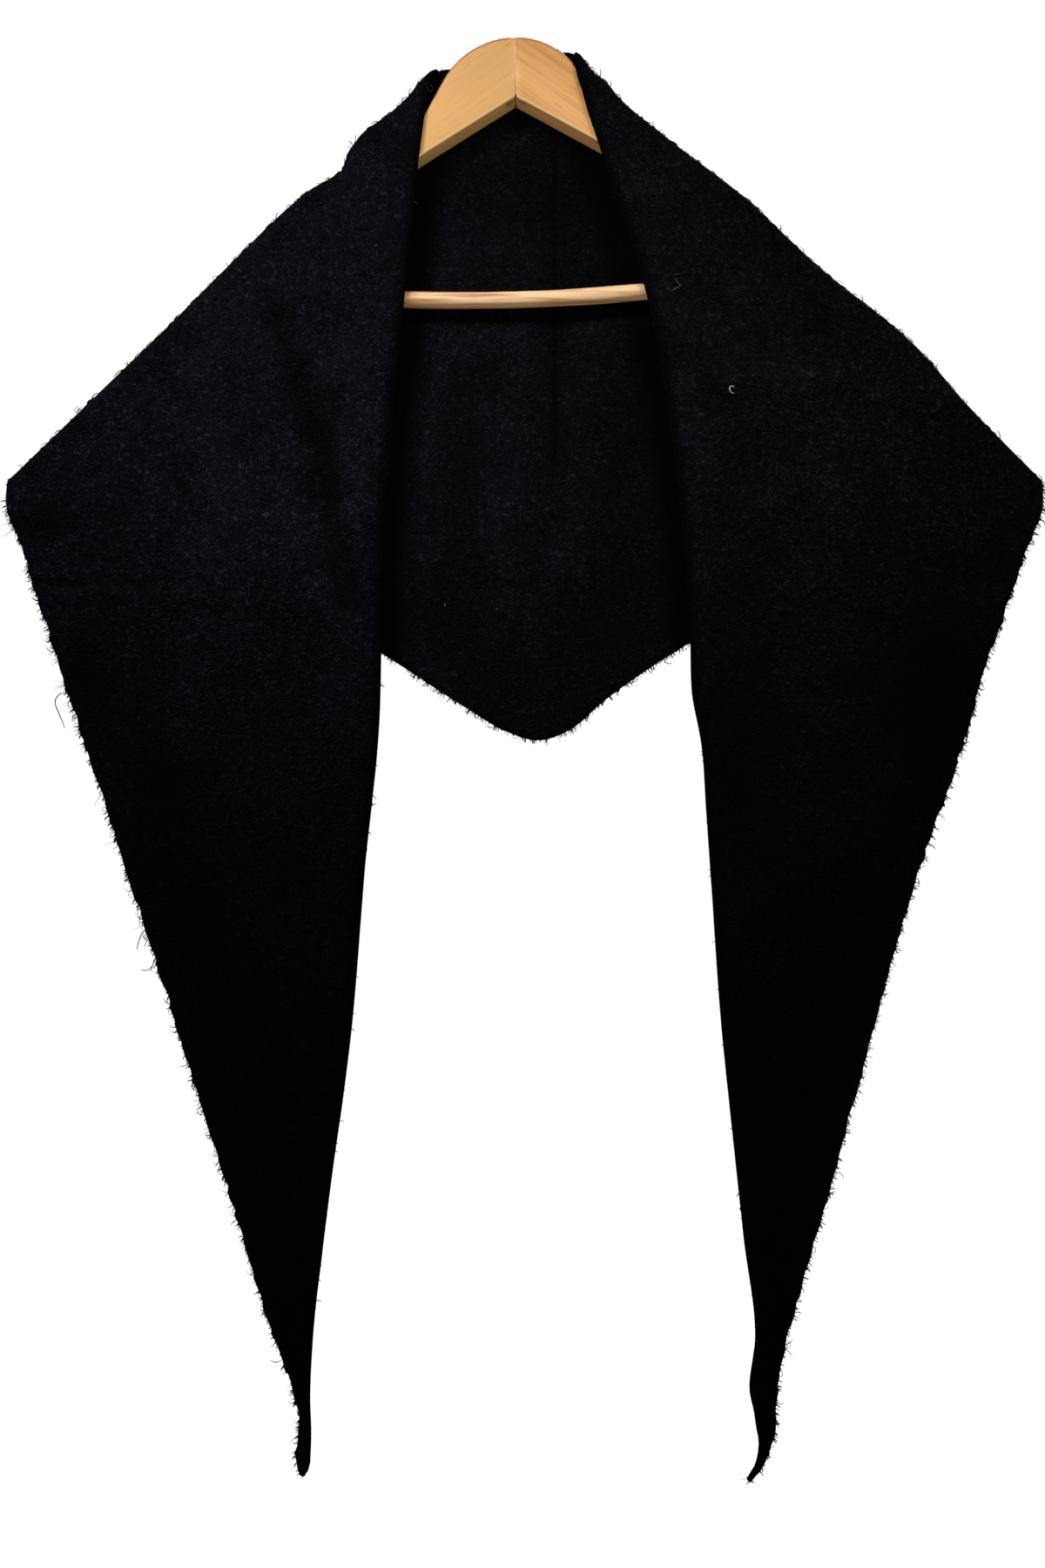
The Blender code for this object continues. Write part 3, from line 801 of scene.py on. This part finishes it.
def nap(name, points, normals, at, sides, material, seed):
    """Yarn curls over a stretch of the cloth: sides gives how many lie outside and inside."""
    rng = np.random.default_rng(seed)
    paths, ups, radii = [], [], []
    taper = 1 - CURL_THINNING * np.abs(np.linspace(-1, 1, CURL_POINTS)) ** 3
    for count, face in zip(sides, (1, -1)):
        root, normal, beside = scatter(points, normals, at, count, rng)
        normal = normal * face
        root = root + normal * (WALL / 2 - CURL_ROOT)
        heading = rng.uniform(0, 2 * pi, count)
        bend = between(rng, CURL_BEND, count) * rng.choice([-1, 1], count)
        length = between(rng, CURL_LENGTH, count)
        length = np.minimum(length, SHORTEST_CURL + from_inner_edges(root[:, 0], root[:, 2]))
        rise = between(rng, CURL_RISE, count)
        ahead = np.cross(beside, normal)
        paths.append(
            curl_paths(root, ahead, beside, normal, heading, bend, length, rise, CURL_POINTS)
        )
        ups.append(normal)
        radii.append(between(rng, CURL_RADIUS, count)[:, None] * taper)
    tube = tubes(np.vstack(paths), np.vstack(ups), np.vstack(radii))
    low, high = CURL_TONE
    tones = low + (high - low) * rng.random(sum(sides)) ** 3
    tones *= cloth_tones(np.vstack(paths)[:, 0], np.arange(sum(sides)) < sides[0])
    return yarn_piece(name, [tube], [tones], material)


def yarn_piece(name, tube_sets, tone_sets, material):
    """One piece from sets of tubes, each tube with its own tone."""
    points, faces, tones = [], [], []
    count = 0
    for (tube_points, quads, ends), own in zip(tube_sets, tone_sets):
        points.append(tube_points)
        faces += (quads + count).tolist() + (ends + count).tolist()
        tones.append(np.repeat(own, len(tube_points) // len(own)))
        count += len(tube_points)
    tones = np.concatenate(tones)
    return made(name, np.vstack(points), faces, material, tones)


def edge_places(points, normals, outwards, line, per_metre, rng):
    """Random places along an edge, so many for each metre, with the cloth's ways there."""
    steps = np.linalg.norm(np.diff(points[line], axis=0), axis=1)
    count = max(1, round(per_metre * steps.sum()))
    picked = rng.choice(len(steps), size=count, p=steps / steps.sum())
    start, end = line[picked], line[picked + 1]
    share = rng.random((count, 1))
    place = (1 - share) * points[start] + share * points[end]
    middle = np.clip(picked, 1, len(steps) - 1)
    return place, normals[line[middle]], outwards[line[middle]]


def edge_paths(place, normal, outward, length, stray, sag, curl, count, rng):
    """Yarns that leave an edge outwards, astray by a random share, and curl down.

    Each starts inside the cloth's thickness, and its height over the cloth's
    plane grows and falls by half a wave.
    """
    number = len(place)
    down = np.array([0.0, 0.0, -1.0])
    way = unit(outward + sag * down + stray * rng.normal(size=(number, 3)))
    side = unit(np.cross(normal, way) + 1e-6)
    side *= np.where(side[:, 2:] > 0, -1, 1)
    bend = curl * rng.normal(1.0, EDGE_CURL_SPREAD, number)
    off_middle = rng.uniform(-EDGE_ROOT_SPREAD, EDGE_ROOT_SPREAD, (number, 1)) * WALL
    root = place - outward * EDGE_ROOT + normal * off_middle
    rise = length * rng.uniform(-EDGE_RISE, EDGE_RISE, number)
    heading = np.zeros(number)
    return curl_paths(root, way, side, normal, heading, bend, length, rise, count)


def edge_yarns(name, points, normals, outwards, edges, rows, material, seed):
    """Loose hairs in tufts and short yarn ends along some edges."""
    rng = np.random.default_rng(seed)
    tube_sets, tone_sets = [], []

    def add(at_edge, length, habits, radius):
        """Tubes of one kind of yarn, thinner towards their ends."""
        *habits, count, thin = habits
        paths = edge_paths(*at_edge, length, *habits, count, rng)
        radii = between(rng, radius, len(length))[:, None] * np.linspace(1, thin, count)
        tube_sets.append(tubes(paths, at_edge[1], radii))
        tone_sets.append(between(rng, CURL_TONE, len(length)))

    for edge, tufts, hair_scale, ends in rows:
        at_tufts = edge_places(points, normals, outwards, edges[edge], tufts, rng)
        hairs = rng.integers(*TUFT_HAIRS, len(at_tufts[0]))
        place, normal, outward = (np.repeat(v, hairs, axis=0) for v in at_tufts)
        place = place + rng.normal(size=place.shape) * TUFT_SPREAD
        low, high = HAIR_LENGTH
        length = (low + (high - low) * rng.random(len(place)) ** 3) * hair_scale
        add((place, normal, outward), length, HAIR_HABITS, HAIR_RADIUS)
        at_ends = edge_places(points, normals, outwards, edges[edge], ends, rng)
        length = between(rng, FRINGE_LENGTH, len(at_ends[0]))
        add(at_ends, length, FRINGE_HABITS, FRINGE_RADIUS)
    return yarn_piece(name, tube_sets, tone_sets, material)


def lying_yarns(name, rows, points, normals, stretches, material):
    """Single yarns at listed places: x and z are given, and y is that of the nearest cloth."""
    tube_sets, tones = [], []
    shares = np.linspace(0, 1, LYING_POINTS)
    for stretch, lift, radius, tone, table in rows:
        line = along(from_mm(*table), shares)
        at = stretches[stretch].ravel()
        face = -1 if stretch == "back" else 1
        gap = points[at][:, None, ::2] - line
        nearest = at[np.hypot(gap[..., 0], gap[..., 1]).argmin(axis=0)]
        cloth = points[nearest] + normals[nearest] * face * (lift / 1000)
        path = np.stack([line[:, 0], cloth[:, 1], line[:, 1]], axis=-1)
        up = np.array([[0.0, -1.0, 0.0]])
        radii = radius / 1000 * (1 - 0.5 * np.abs(2 * shares - 1) ** 4)
        tube_sets.append(tubes(path[None], up, radii[None], sides=5))
        tones.append(np.array([tone]))
    return yarn_piece(name, tube_sets, tones, material)


def socket_value(socket, value):
    """Gives a socket a number or colour."""
    if isinstance(value, tuple) and len(value) == 3 and socket.type == "RGBA":
        value = (*value, 1)
    socket.default_value = value


def feed(tree, node, sockets):
    """Inputs of a node given a value, or linked from an output."""
    for key, value in sockets.items():
        if isinstance(value, bpy.types.NodeSocket):
            tree.links.new(value, node.inputs[key])
        else:
            socket_value(node.inputs[key], value)


def put(tree, kind, sockets=None, **settings):
    """A node with its settings and its inputs."""
    node = tree.nodes.new(kind)
    for key, value in settings.items():
        setattr(node, key, value)
    feed(tree, node, sockets or {})
    return node


def maths(tree, operation, a, b=0.0, c=0.0):
    """A number worked out from up to three others."""
    return put(tree, "ShaderNodeMath", {0: a, 1: b, 2: c}, operation=operation).outputs[0]


def product(tree, first, *others):
    """Several numbers multiplied."""
    for other in others:
        first = maths(tree, "MULTIPLY", first, other)
    return first


def noise(tree, place, scale, detail):
    """Smooth noise from 0 to 1 at a scale of waves for each metre."""
    sockets = {"Vector": place, "Scale": scale, "Detail": detail}
    return put(tree, "ShaderNodeTexNoise", sockets).outputs["Fac"]


def spread(tree, value, low, high, to_low, to_high):
    """A number moved from one range to another, and held inside it."""
    sockets = {0: value, 1: low, 2: high, 3: to_low, 4: to_high}
    return put(tree, "ShaderNodeMapRange", sockets).outputs[0]


def blend_colour(tree, factor, a, b, mode="MIX"):
    """A colour between two others."""
    settings = {"data_type": "RGBA", "blend_type": mode}
    return put(tree, "ShaderNodeMix", {0: factor, 6: a, 7: b}, **settings).outputs[2]


def new_group(name, inputs, outputs):
    """An empty shader node group with named inputs and outputs."""
    group = bpy.data.node_groups.new(name, "ShaderNodeTree")
    for label, kind, value in inputs:
        socket = group.interface.new_socket(name=label, in_out="INPUT", socket_type=kind)
        if value is not None:
            socket.default_value = (*value, 1) if isinstance(value, tuple) else value
    for label, kind in outputs:
        group.interface.new_socket(name=label, in_out="OUTPUT", socket_type=kind)
    return group, group.nodes.new("NodeGroupInput"), group.nodes.new("NodeGroupOutput")


def curly_nap_group():
    """Curly nap: pale ridges on dark ground, which wind along the level lines of a noise.

    The ridge is a power of the sine of a smooth noise, so the lines bend round and close like
    curled yarn. Broad patches and a fine grain vary it. The tint goes from one side of the scarf to
    the other. Painted shade darkens the back, the tails, the top under the board and a crease down
    the back. Gives a colour and a height.
    """
    group, given, result = new_group(
        "curly_nap",
        (
            ("Place", "NodeSocketVector", None),
            ("Left tint", "NodeSocketColor", BLUE_BLACK),
            ("Middle tint", "NodeSocketColor", STEEL_BLACK),
            ("Right tint", "NodeSocketColor", GREY_BLACK),
            ("Curl size", "NodeSocketFloat", 0.006),
            ("Ground", "NodeSocketFloat", 0.3),
            ("Ridges", "NodeSocketFloat", 2.2),
            ("Tone", "NodeSocketFloat", 1.0),
        ),
        (("Color", "NodeSocketColor"), ("Height", "NodeSocketFloat")),
    )
    place = given.outputs["Place"]
    often = maths(group, "DIVIDE", 1.0, given.outputs["Curl size"])
    curls = noise(group, place, often, 1.0)
    bands = maths(group, "SINE", maths(group, "MULTIPLY", curls, CURL_LINES))
    ridge = maths(group, "POWER", maths(group, "ABSOLUTE", bands), RIDGE_POWER)
    grain = noise(group, place, NAP_GRAIN, 2.0)
    patches = spread(group, noise(group, place, NAP_PATCHES, 3.0), 0.32, 0.68, 0.65, 1.25)
    clumps = spread(group, noise(group, place, NAP_CLUMPS, 1.0), 0.42, 0.66, 0.45, 1.7)
    x, y, z = put(group, "ShaderNodeSeparateXYZ", {0: place}).outputs
    on_back = spread(group, y, 0.0, 0.004, 0.0, 1.0)

    # The tint: blue on the left, grey on the right and low on the back
    tint_patches = maths(group, "SUBTRACT", noise(group, place, NAP_TINTS, 2.0), 0.5)
    side = maths(group, "MULTIPLY_ADD", tint_patches, 0.30, x)
    greyer = product(group, on_back, spread(group, z, -0.44, -0.28, 0.09, 0.02))
    side = maths(group, "ADD", side, greyer)
    side = spread(group, side, 0.00, 0.11, 0.0, 1.0)
    steel = 0.0
    for x0, z0, half_width, half_height in STEEL_PATCHES:
        beside = maths(group, "DIVIDE", maths(group, "SUBTRACT", x, x0), half_width)
        below = maths(group, "DIVIDE", maths(group, "SUBTRACT", z, z0), half_height)
        away = maths(group, "MULTIPLY_ADD", beside, beside, product(group, below, below))
        away = maths(group, "MULTIPLY_ADD", tint_patches, 4.0, away)
        steel = maths(group, "MAXIMUM", steel, spread(group, away, 0.2, 1.8, 1.0, 0.0))
    steel = product(group, steel, spread(group, y, -0.003, 0.003, 1.0, 0.0))
    tint = blend_colour(group, steel, given.outputs["Left tint"], given.outputs["Middle tint"])
    tint = blend_colour(group, side, tint, given.outputs["Right tint"])

    # How light it is: ridges on ground, times each share, of which some are painted shade: by
    # height, on the back and along its crease
    # Painted shade along the crease
    off_crease = maths(group, "ABSOLUTE", maths(group, "SUBTRACT", x, CREASE_X))
    crease_shade = spread(group, off_crease, *CREASE_WIDTH, CREASE_SHADE, 0.0)
    crease_shade = product(group, crease_shade, on_back, spread(group, z, *CREASE_FADES, 0.0, 1.0))
    light = product(group, ridge, clumps)
    light = maths(
        group, "MULTIPLY_ADD", light, given.outputs["Ridges"], given.outputs["Ground"]
    )
    light = product(
        group,
        light,
        spread(group, grain, 0.25, 0.75, 0.5, 1.5),
        patches,
        *(spread(group, z, *tones) for tones in HEIGHT_SHADE),
        spread(group, y, 0.0, 0.006, 1.0, BACK_SHADE),
        maths(group, "SUBTRACT", 1.0, crease_shade),
        given.outputs["Tone"],
    )
    grey = put(group, "ShaderNodeCombineXYZ", {0: light, 1: light, 2: light}).outputs[0]
    colour = blend_colour(group, 1.0, tint, grey, "MULTIPLY")
    group.links.new(colour, result.inputs["Color"])
    group.links.new(maths(group, "MULTIPLY_ADD", grain, 0.5, ridge), result.inputs["Height"])
    return group


def wood_grain_group():
    """Wood: streaks drawn out along the place's X, broad bands across them and fine dark pores.

    Arris above 0 mixes in a painted highlight, and below 0 a darker colour: along the hump's crown,
    and painted shade on the bar. It gives a colour, a height and a roughness.
    """
    group, given, result = new_group(
        "wood_grain",
        (
            ("Place", "NodeSocketVector", None),
            ("Light wood", "NodeSocketColor", HONEY_LIGHT),
            ("Dark wood", "NodeSocketColor", HONEY_DARK),
            ("Streaks", "NodeSocketFloat", 1.0),
            ("Bands", "NodeSocketFloat", 1.0),
            ("Arris", "NodeSocketFloat", 0.0),
        ),
        (
            ("Color", "NodeSocketColor"),
            ("Height", "NodeSocketFloat"),
            ("Roughness", "NodeSocketFloat"),
        ),
    )
    place = given.outputs["Place"]

    def streaked(scale, detail, stretch):
        """Noise drawn out along X by the stretch."""
        drawn = {"Vector": place, "Scale": (1 / stretch, 1.0, 1.0)}
        drawn = put(group, "ShaderNodeMapping", drawn)
        return noise(group, drawn.outputs[0], scale, detail)

    broad = streaked(*GRAIN_BANDS)
    fine = streaked(*GRAIN_STREAKS)
    pores = spread(group, streaked(*GRAIN_PORES), 0.64, 0.80, 0.0, 0.45)
    bands = product(group, maths(group, "SUBTRACT", broad, 0.5), given.outputs["Bands"])
    mixed = maths(group, "MULTIPLY_ADD", maths(group, "SUBTRACT", fine, 0.5), 1.4, bands)
    mixed = maths(group, "MULTIPLY_ADD", mixed, given.outputs["Streaks"], 0.42)
    mixed = put(group, "ShaderNodeClamp", {0: mixed}).outputs[0]
    colour = blend_colour(group, mixed, given.outputs["Light wood"], given.outputs["Dark wood"])
    colour = blend_colour(group, pores, colour, WOOD_PORE)
    painted_highlight = spread(group, given.outputs["Arris"], 0.0, 1.0, 0.0, 0.9)
    colour = blend_colour(group, painted_highlight, colour, WOOD_HIGHLIGHT)
    dark = spread(group, given.outputs["Arris"], 0.0, -1.0, 0.0, 0.75)
    colour = blend_colour(group, dark, colour, WOOD_RIM_AND_SHADE)
    group.links.new(colour, result.inputs["Color"])
    group.links.new(maths(group, "SUBTRACT", fine, pores), result.inputs["Height"])
    rough = maths(group, "MULTIPLY_ADD", fine, 0.25, 0.32)
    group.links.new(rough, result.inputs["Roughness"])
    return group


def shaded(name, **values):
    """A material with a Principled BSDF, and its constant values set on the shader."""
    material = bpy.data.materials.new(name)
    material.use_nodes = True
    shader = material.node_tree.nodes["Principled BSDF"]
    for key, value in values.items():
        socket_value(shader.inputs[key.replace("_", " ")], value)
    return material, material.node_tree, shader


def cloth_material(name, group, tints, curl_size, ground, ridges, bump):
    """Brushed black cloth or its yarn, matt, with its curls in colour and as bump."""
    material, tree, shader = shaded(
        name, Roughness=0.95, Specular_IOR_Level=0.05, Sheen_Weight=0.0, Metallic=0.0
    )
    sockets = {
        "Place": put(tree, "ShaderNodeTexCoord").outputs["Object"],
        "Left tint": tints[0],
        "Middle tint": tints[1],
        "Right tint": tints[2],
        "Curl size": curl_size,
        "Ground": ground,
        "Ridges": ridges,
        "Tone": put(tree, "ShaderNodeAttribute", attribute_name="tone").outputs["Fac"],
    }
    pattern = put(tree, "ShaderNodeGroup", node_tree=group)
    feed(tree, pattern, sockets)
    tree.links.new(pattern.outputs["Color"], shader.inputs["Base Color"])
    raise_normal(tree, shader, pattern.outputs["Height"], bump, 0.0008)
    return material


def wood_material(name, group, light, dark, streaks, bands=1.0, grain_turn=0.0):
    """Varnished wood with its grain turned to run along the piece."""
    material, tree, shader = shaded(name, Specular_IOR_Level=0.35, Metallic=0.0)
    place = put(tree, "ShaderNodeTexCoord").outputs["Object"]
    turned = put(tree, "ShaderNodeMapping", {"Vector": place, "Rotation": (0, grain_turn, 0)})
    own = put(tree, "ShaderNodeAttribute", attribute_name="tone")
    sockets = {
        "Place": turned.outputs[0],
        "Light wood": light,
        "Dark wood": dark,
        "Streaks": streaks,
        "Bands": bands,
        "Arris": own.outputs["Fac"],
    }
    pattern = put(tree, "ShaderNodeGroup", node_tree=group)
    feed(tree, pattern, sockets)
    tree.links.new(pattern.outputs["Color"], shader.inputs["Base Color"])
    tree.links.new(pattern.outputs["Roughness"], shader.inputs["Roughness"])
    raise_normal(tree, shader, pattern.outputs["Height"], 0.25, 0.0003)
    return material


def raise_normal(tree, shader, height, strength, distance):
    """Bump from a height to the shader's normal."""
    sockets = {"Height": height, "Strength": strength, "Distance": distance}
    raised = put(tree, "ShaderNodeBump", sockets)
    tree.links.new(raised.outputs[0], shader.inputs["Normal"])


def turned_with_hanger(points):
    """Points turned about the hook seat, as the hanger hangs."""
    x, y, z = np.moveaxis(points, -1, 0)
    c, s = cos(HANGER_TURN), sin(HANGER_TURN)
    return np.stack([c * x - s * z, y, s * x + c * z], axis=-1)


def arm_rings(tops, feet, top_round):
    """Cross-sections of an arm: flat sides, a rounded top and a small bevel at the foot.

    Each ring starts at the foot behind, runs up, over the top in two quarter
    circles and down in front.
    """
    height = np.linalg.norm(tops - feet, axis=1)
    up = (tops - feet) / height[:, None]
    half = BOARD / 2
    turn = np.linspace(0, pi / 2, CORNER_POINTS)
    corner = half - top_round[:, None] * (1 - np.cos(turn))
    crown = height[:, None] - top_round[:, None] * (1 - np.sin(turn))
    foot_turn = np.linspace(pi / 2, 0, BEVEL_POINTS)
    foot_in = half - FOOT_BEVEL * (1 - np.cos(foot_turn))
    foot_rise = FOOT_BEVEL * (1 - np.sin(foot_turn))
    across = np.hstack([np.tile(foot_in, (len(tops), 1)), corner])
    rise = np.hstack([np.tile(foot_rise, (len(tops), 1)), crown])
    across = np.hstack([across, -across[:, ::-1]])
    rise = np.hstack([rise, rise[:, ::-1]])
    place = feet[:, None] + rise[..., None] * up[:, None]
    return np.stack([place[..., 0], across, place[..., 1]], axis=-1)


def ring_solid(rings):
    """Points and faces of a closed solid through rings, capped flat at both ends."""
    at = np.arange(rings[..., 0].size).reshape(rings.shape[:2])
    beside = np.roll(at, -1, axis=1)
    quads = np.stack([at[:-1], beside[:-1], beside[1:], at[1:]], axis=-1).reshape(-1, 4)
    return rings.reshape(-1, 3), quads.tolist() + [at[0, ::-1].tolist(), at[-1].tolist()]


def arm(name, side, radius, material):
    """One arm: half of the hump, round on top and straight down its flank, then the board."""
    start = asin(LANDING / 2 / radius)
    rise = radius * cos(start)
    angle = np.linspace(start, HUMP_ARC, HUMP_STEPS + 1)
    reach = (angle - start) / (HUMP_ARC - start)
    hump_top = np.stack([radius * np.sin(angle), radius * np.cos(angle) - rise], axis=1)
    foot_x = LANDING / 2 + (HUMP_FOOT - LANDING / 2) * reach
    hump_foot = np.stack([foot_x, -BLOCK_HEIGHT - foot_x * tan(FOOT_SLOPE)], axis=1)
    shares = np.linspace(0, 1, ARM_STEPS + 1)
    arm_top = along([row[:2] for row in ARM_SECTIONS], shares)
    arm_foot = along([row[2:] for row in ARM_SECTIONS], shares)
    seam_x = np.array([0.0, SEAM_BEVEL, 2 * SEAM_BEVEL])
    seam_top = np.stack([seam_x, np.zeros(3)], axis=1)
    seam_foot = np.stack([seam_x, -BLOCK_HEIGHT - seam_x * tan(FOOT_SLOPE)], axis=1)
    seam_foot[:, 1] += CRACK_HEIGHT, CRACK_HEIGHT / 2, 0.0
    tops = np.vstack([seam_top, hump_top, arm_top])
    feet = np.vstack([seam_foot, hump_foot, arm_foot])
    hump_rings = len(tops) - len(arm_top)
    past_hump = (np.arange(len(tops)) - hump_rings) / (ARM_ROUNDS_OVER - 1)
    rounds = HUMP_ROUND + (ARM_ROUND - HUMP_ROUND) * settle(past_hump)
    rings = arm_rings(tops, feet, rounds)
    rings[0, :, 1] *= 1 - SEAM_BEVEL / (BOARD / 2)
    rings[..., 0] *= side
    if side < 0:
        rings = rings[:, ::-1]
    points, faces = ring_solid(turned_with_hanger(rings)[:, ::-1])
    tones = np.zeros(rings.shape[:2])
    # Painted highlights along both foot bevels
    tones[:, HIGHLIGHT_BEHIND] = tones[:, HIGHLIGHT_IN_FRONT] = 1
    # Darker along the hump's crown
    tones[len(seam_top):hump_rings, DARK_CROWN] = -1
    # Painted highlight beside the seam
    tones[:SEAM_RINGS, SEAM_FACE] = SEAM_HIGHLIGHT
    if side < 0:
        tones = tones[:, ::-1]
    tones = tones[:, ::-1].ravel()
    piece = made(name + "_wood", points, faces, material, tones)
    piece.data.set_sharp_from_angle(angle=SHARP_FROM)
    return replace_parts(piece, name)


def glue(material):
    """Two dried smears of glue under the seam: flat drops with uneven outlines.

    A drop is an ellipsoid whose radius follows a slow sine round it, and it
    slopes with the foot of its arm.
    """
    around = np.linspace(0, 2 * pi, GLUE_SIDES + 1)[:-1]
    down, around = np.meshgrid(np.linspace(0, pi, GLUE_RINGS), around, indexing="ij")
    drops = []
    for x, y, wide, long in GLUE_DROPS:
        lobes = np.sin(GLUE_LOBES * around + GLUE_LOBE_TURN * x)
        reach = np.sin(down) * (1 + GLUE_LOBE_SIZE * lobes)
        aside = wide * reach * np.cos(around)
        foot = -BLOCK_HEIGHT - (abs(x) + np.sign(x) * aside) * tan(FOOT_SLOPE)
        z = foot + GLUE_THICK * (np.cos(down) - GLUE_SUNK)
        drops.append(np.stack([x + aside, y + long * reach * np.sin(around), z], axis=-1))
    points = turned_with_hanger(np.array(drops)).reshape(-1, 3)
    at = np.arange(len(points)).reshape(len(GLUE_DROPS), GLUE_RINGS, GLUE_SIDES)
    beside = np.roll(at, -1, axis=2)
    quads = np.stack([at[:, :-1], at[:, 1:], beside[:, 1:], beside[:, :-1]], axis=-1).reshape(-1, 4)
    return made("seam_glue", points, quads.tolist(), material)


def bar(material):
    """The round trouser bar: rings along an arc that sags in the middle, with painted shade below
    and a painted shadow by its left end.
    """
    x = np.linspace(-BAR_HALF_LENGTH, BAR_HALF_LENGTH, BAR_RINGS)
    lean = (x / BAR_BOW_RADIUS)[:, None]
    z = (-BAR_DROP + x * x / (2 * BAR_BOW_RADIUS))[:, None]
    turn = np.arange(BAR_SIDES) * 2 * pi / BAR_SIDES
    radius = BAR_RADIUS * (1 + BAR_UNEVEN * lumps(x, 0 * x, BAR_UNEVEN_SIZE, 5)[:, None])
    out, up = radius * np.cos(turn), radius * np.sin(turn)
    rings = np.stack([x[:, None] - up * np.sin(lean), out, z + up * np.cos(lean)], axis=-1)
    points, faces = ring_solid(turned_with_hanger(rings))
    # Painted shade on the bar's underside
    under = settle((BAR_SHADE_FROM - np.sin(turn)) / BAR_SHADE_OVER)
    # Painted shadow, with darker wood, where the bar goes under the left front
    stain_and_shadow = np.exp(-(((x - BAR_STAIN_AND_SHADOW_X) / BAR_STAIN_AND_SHADOW_WIDTH) ** 2))[:, None]
    tones = -np.maximum(BAR_UNDERSIDE_SHADE * under, BAR_STAIN_AND_SHADOW * stain_and_shadow).ravel()
    piece = made("hanger_bar_wood", points, faces, material, tones)
    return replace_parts(piece, "hanger_bar")


def area_light(name, place, aim, size, watts, spread_degrees):
    """A softbox with a grid, which looks at a point and isn't seen itself."""
    data = bpy.data.lights.new(name, "AREA")
    data.shape = "RECTANGLE"
    data.size, data.size_y = size
    data.energy = watts
    data.spread = radians(spread_degrees)
    light = bpy.data.objects.new(name, data)
    bpy.context.scene.collection.objects.link(light)
    light.location = place
    way = light.location.copy()
    way.x, way.y, way.z = (a - b for a, b in zip(aim, place))
    light.rotation_euler = way.to_track_quat("-Z", "Y").to_euler()
    light.visible_camera = False


def studio():
    """A pale floor, a white surround, and soft lights from above."""
    world = bpy.data.worlds.new("white_surround")
    bpy.context.scene.world = world
    world.use_nodes = True
    tree = world.node_tree
    seen = put(tree, "ShaderNodeLightPath").outputs["Is Camera Ray"]
    strength = spread(tree, seen, 0.0, 1.0, SURROUND_LIGHT, 1.0)
    tree.links.new(strength, tree.nodes["Background"].inputs["Strength"])
    tree.nodes["Background"].inputs["Color"].default_value = (1, 1, 1, 1)

    floor_material, tree, shader = shaded(
        "pale_floor", Base_Color=FLOOR_GREY, Roughness=0.9, Emission_Color=(1.0, 1.0, 1.0)
    )
    seen = put(tree, "ShaderNodeLightPath").outputs["Is Camera Ray"]
    tree.links.new(seen, shader.inputs["Emission Strength"])
    mesh = bpy.data.meshes.new("floor")
    corners = [(-1, -1), (1, -1), (1, 1), (-1, 1)]
    corners = [(x * FLOOR_HALF, y * FLOOR_HALF, FLOOR_Z) for x, y in corners]
    mesh.from_pydata(corners, [], [(0, 1, 2, 3)])
    mesh.materials.append(floor_material)
    floor = bpy.data.objects.new("floor", mesh)
    bpy.context.scene.collection.objects.link(floor)
    for row in LIGHTS:
        area_light(*row)


def camera():
    """The photo's camera: level, square to the hanger, with the photo's frame."""
    data = bpy.data.cameras.new("camera")
    data.sensor_width = SENSOR_MM
    data.lens = SENSOR_MM * CAMERA_DISTANCE / (max(FRAME_WIDTH, FRAME_HEIGHT) * PIXEL)
    eye = bpy.data.objects.new("camera", data)
    bpy.context.scene.collection.objects.link(eye)
    eye.location = CAMERA_X, -CAMERA_DISTANCE, CAMERA_Z
    eye.rotation_euler = pi / 2, 0, 0
    bpy.context.scene.camera = eye


bpy.context.scene.view_settings.view_transform = "Standard"
nap_group = curly_nap_group()
grain_group = wood_grain_group()
black_tints = BLUE_BLACK, STEEL_BLACK, GREY_BLACK
lint_tints = GREY_FIBRE, GREY_FIBRE, PALE_FIBRE
cloth_finish = cloth_material(
    "brushed_black_cloth", nap_group, black_tints, curl_size=0.006, ground=0.5, ridges=1.9, bump=0.9
)
curl_finish = cloth_material(
    "black_yarn", nap_group, black_tints, curl_size=0.006, ground=0.8, ridges=0.5, bump=0.3
)
lint_finish = cloth_material(
    "pale_lint", nap_group, lint_tints, curl_size=0.003, ground=0.7, ridges=0.5, bump=0.3
)
left_wood = wood_material(
    "honey_wood_left", grain_group, HONEY_LIGHT, HONEY_DARK, streaks=0.6, grain_turn=GRAIN_TURN
)
right_wood = wood_material(
    "honey_wood_right", grain_group, ORANGE_LIGHT, ORANGE_DARK, streaks=1.3, grain_turn=-GRAIN_TURN
)
glue_finish = wood_material("dried_glue", grain_group, GLUE, WOOD_PORE, streaks=0.6)
bar_wood = wood_material(
    "pale_wood", grain_group, PALE_LIGHT, PALE_DARK, streaks=4.8, bands=0.3
)

points, normals, quads, edges, stretches = continuous_cloth()
rim = np.concatenate([line[:-1] for line in edges.values()])
outwards = rim_outwards(points, normals, rim)
wall_points, wall_faces = walled(points, normals, quads, rim, outwards)
wall_tones = cloth_tones(wall_points, np.arange(len(wall_points)) < len(points))
cloth = made(
    "scarf_cloth", wall_points, wall_faces.tolist(), cloth_finish, wall_tones
)
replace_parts(cloth, "scarf_back", "scarf_front_left", "scarf_front_right")

yarns = [
    nap(name, points, normals, stretches[stretch], (outside, inside), curl_finish, seed)
    for name, stretch, outside, inside, seed in NAPS
]
yarns += [
    edge_yarns(name, points, normals, outwards, edges, rows, curl_finish, seed)
    for name, seed, rows in EDGE_YARNS
]
yarns += [
    lying_yarns("stray_yarns", BLACK_STRAYS, points, normals, stretches, curl_finish),
    lying_yarns("pale_lint", PALE_LINT, points, normals, stretches, lint_finish),
]

arms = [
    arm("hanger_arm_left", -1, HUMP_RADIUS_LEFT, left_wood),
    arm("hanger_arm_right", 1, HUMP_RADIUS_RIGHT, right_wood),
]
bar(bar_wood)
glue(glue_finish)

studio()
camera()
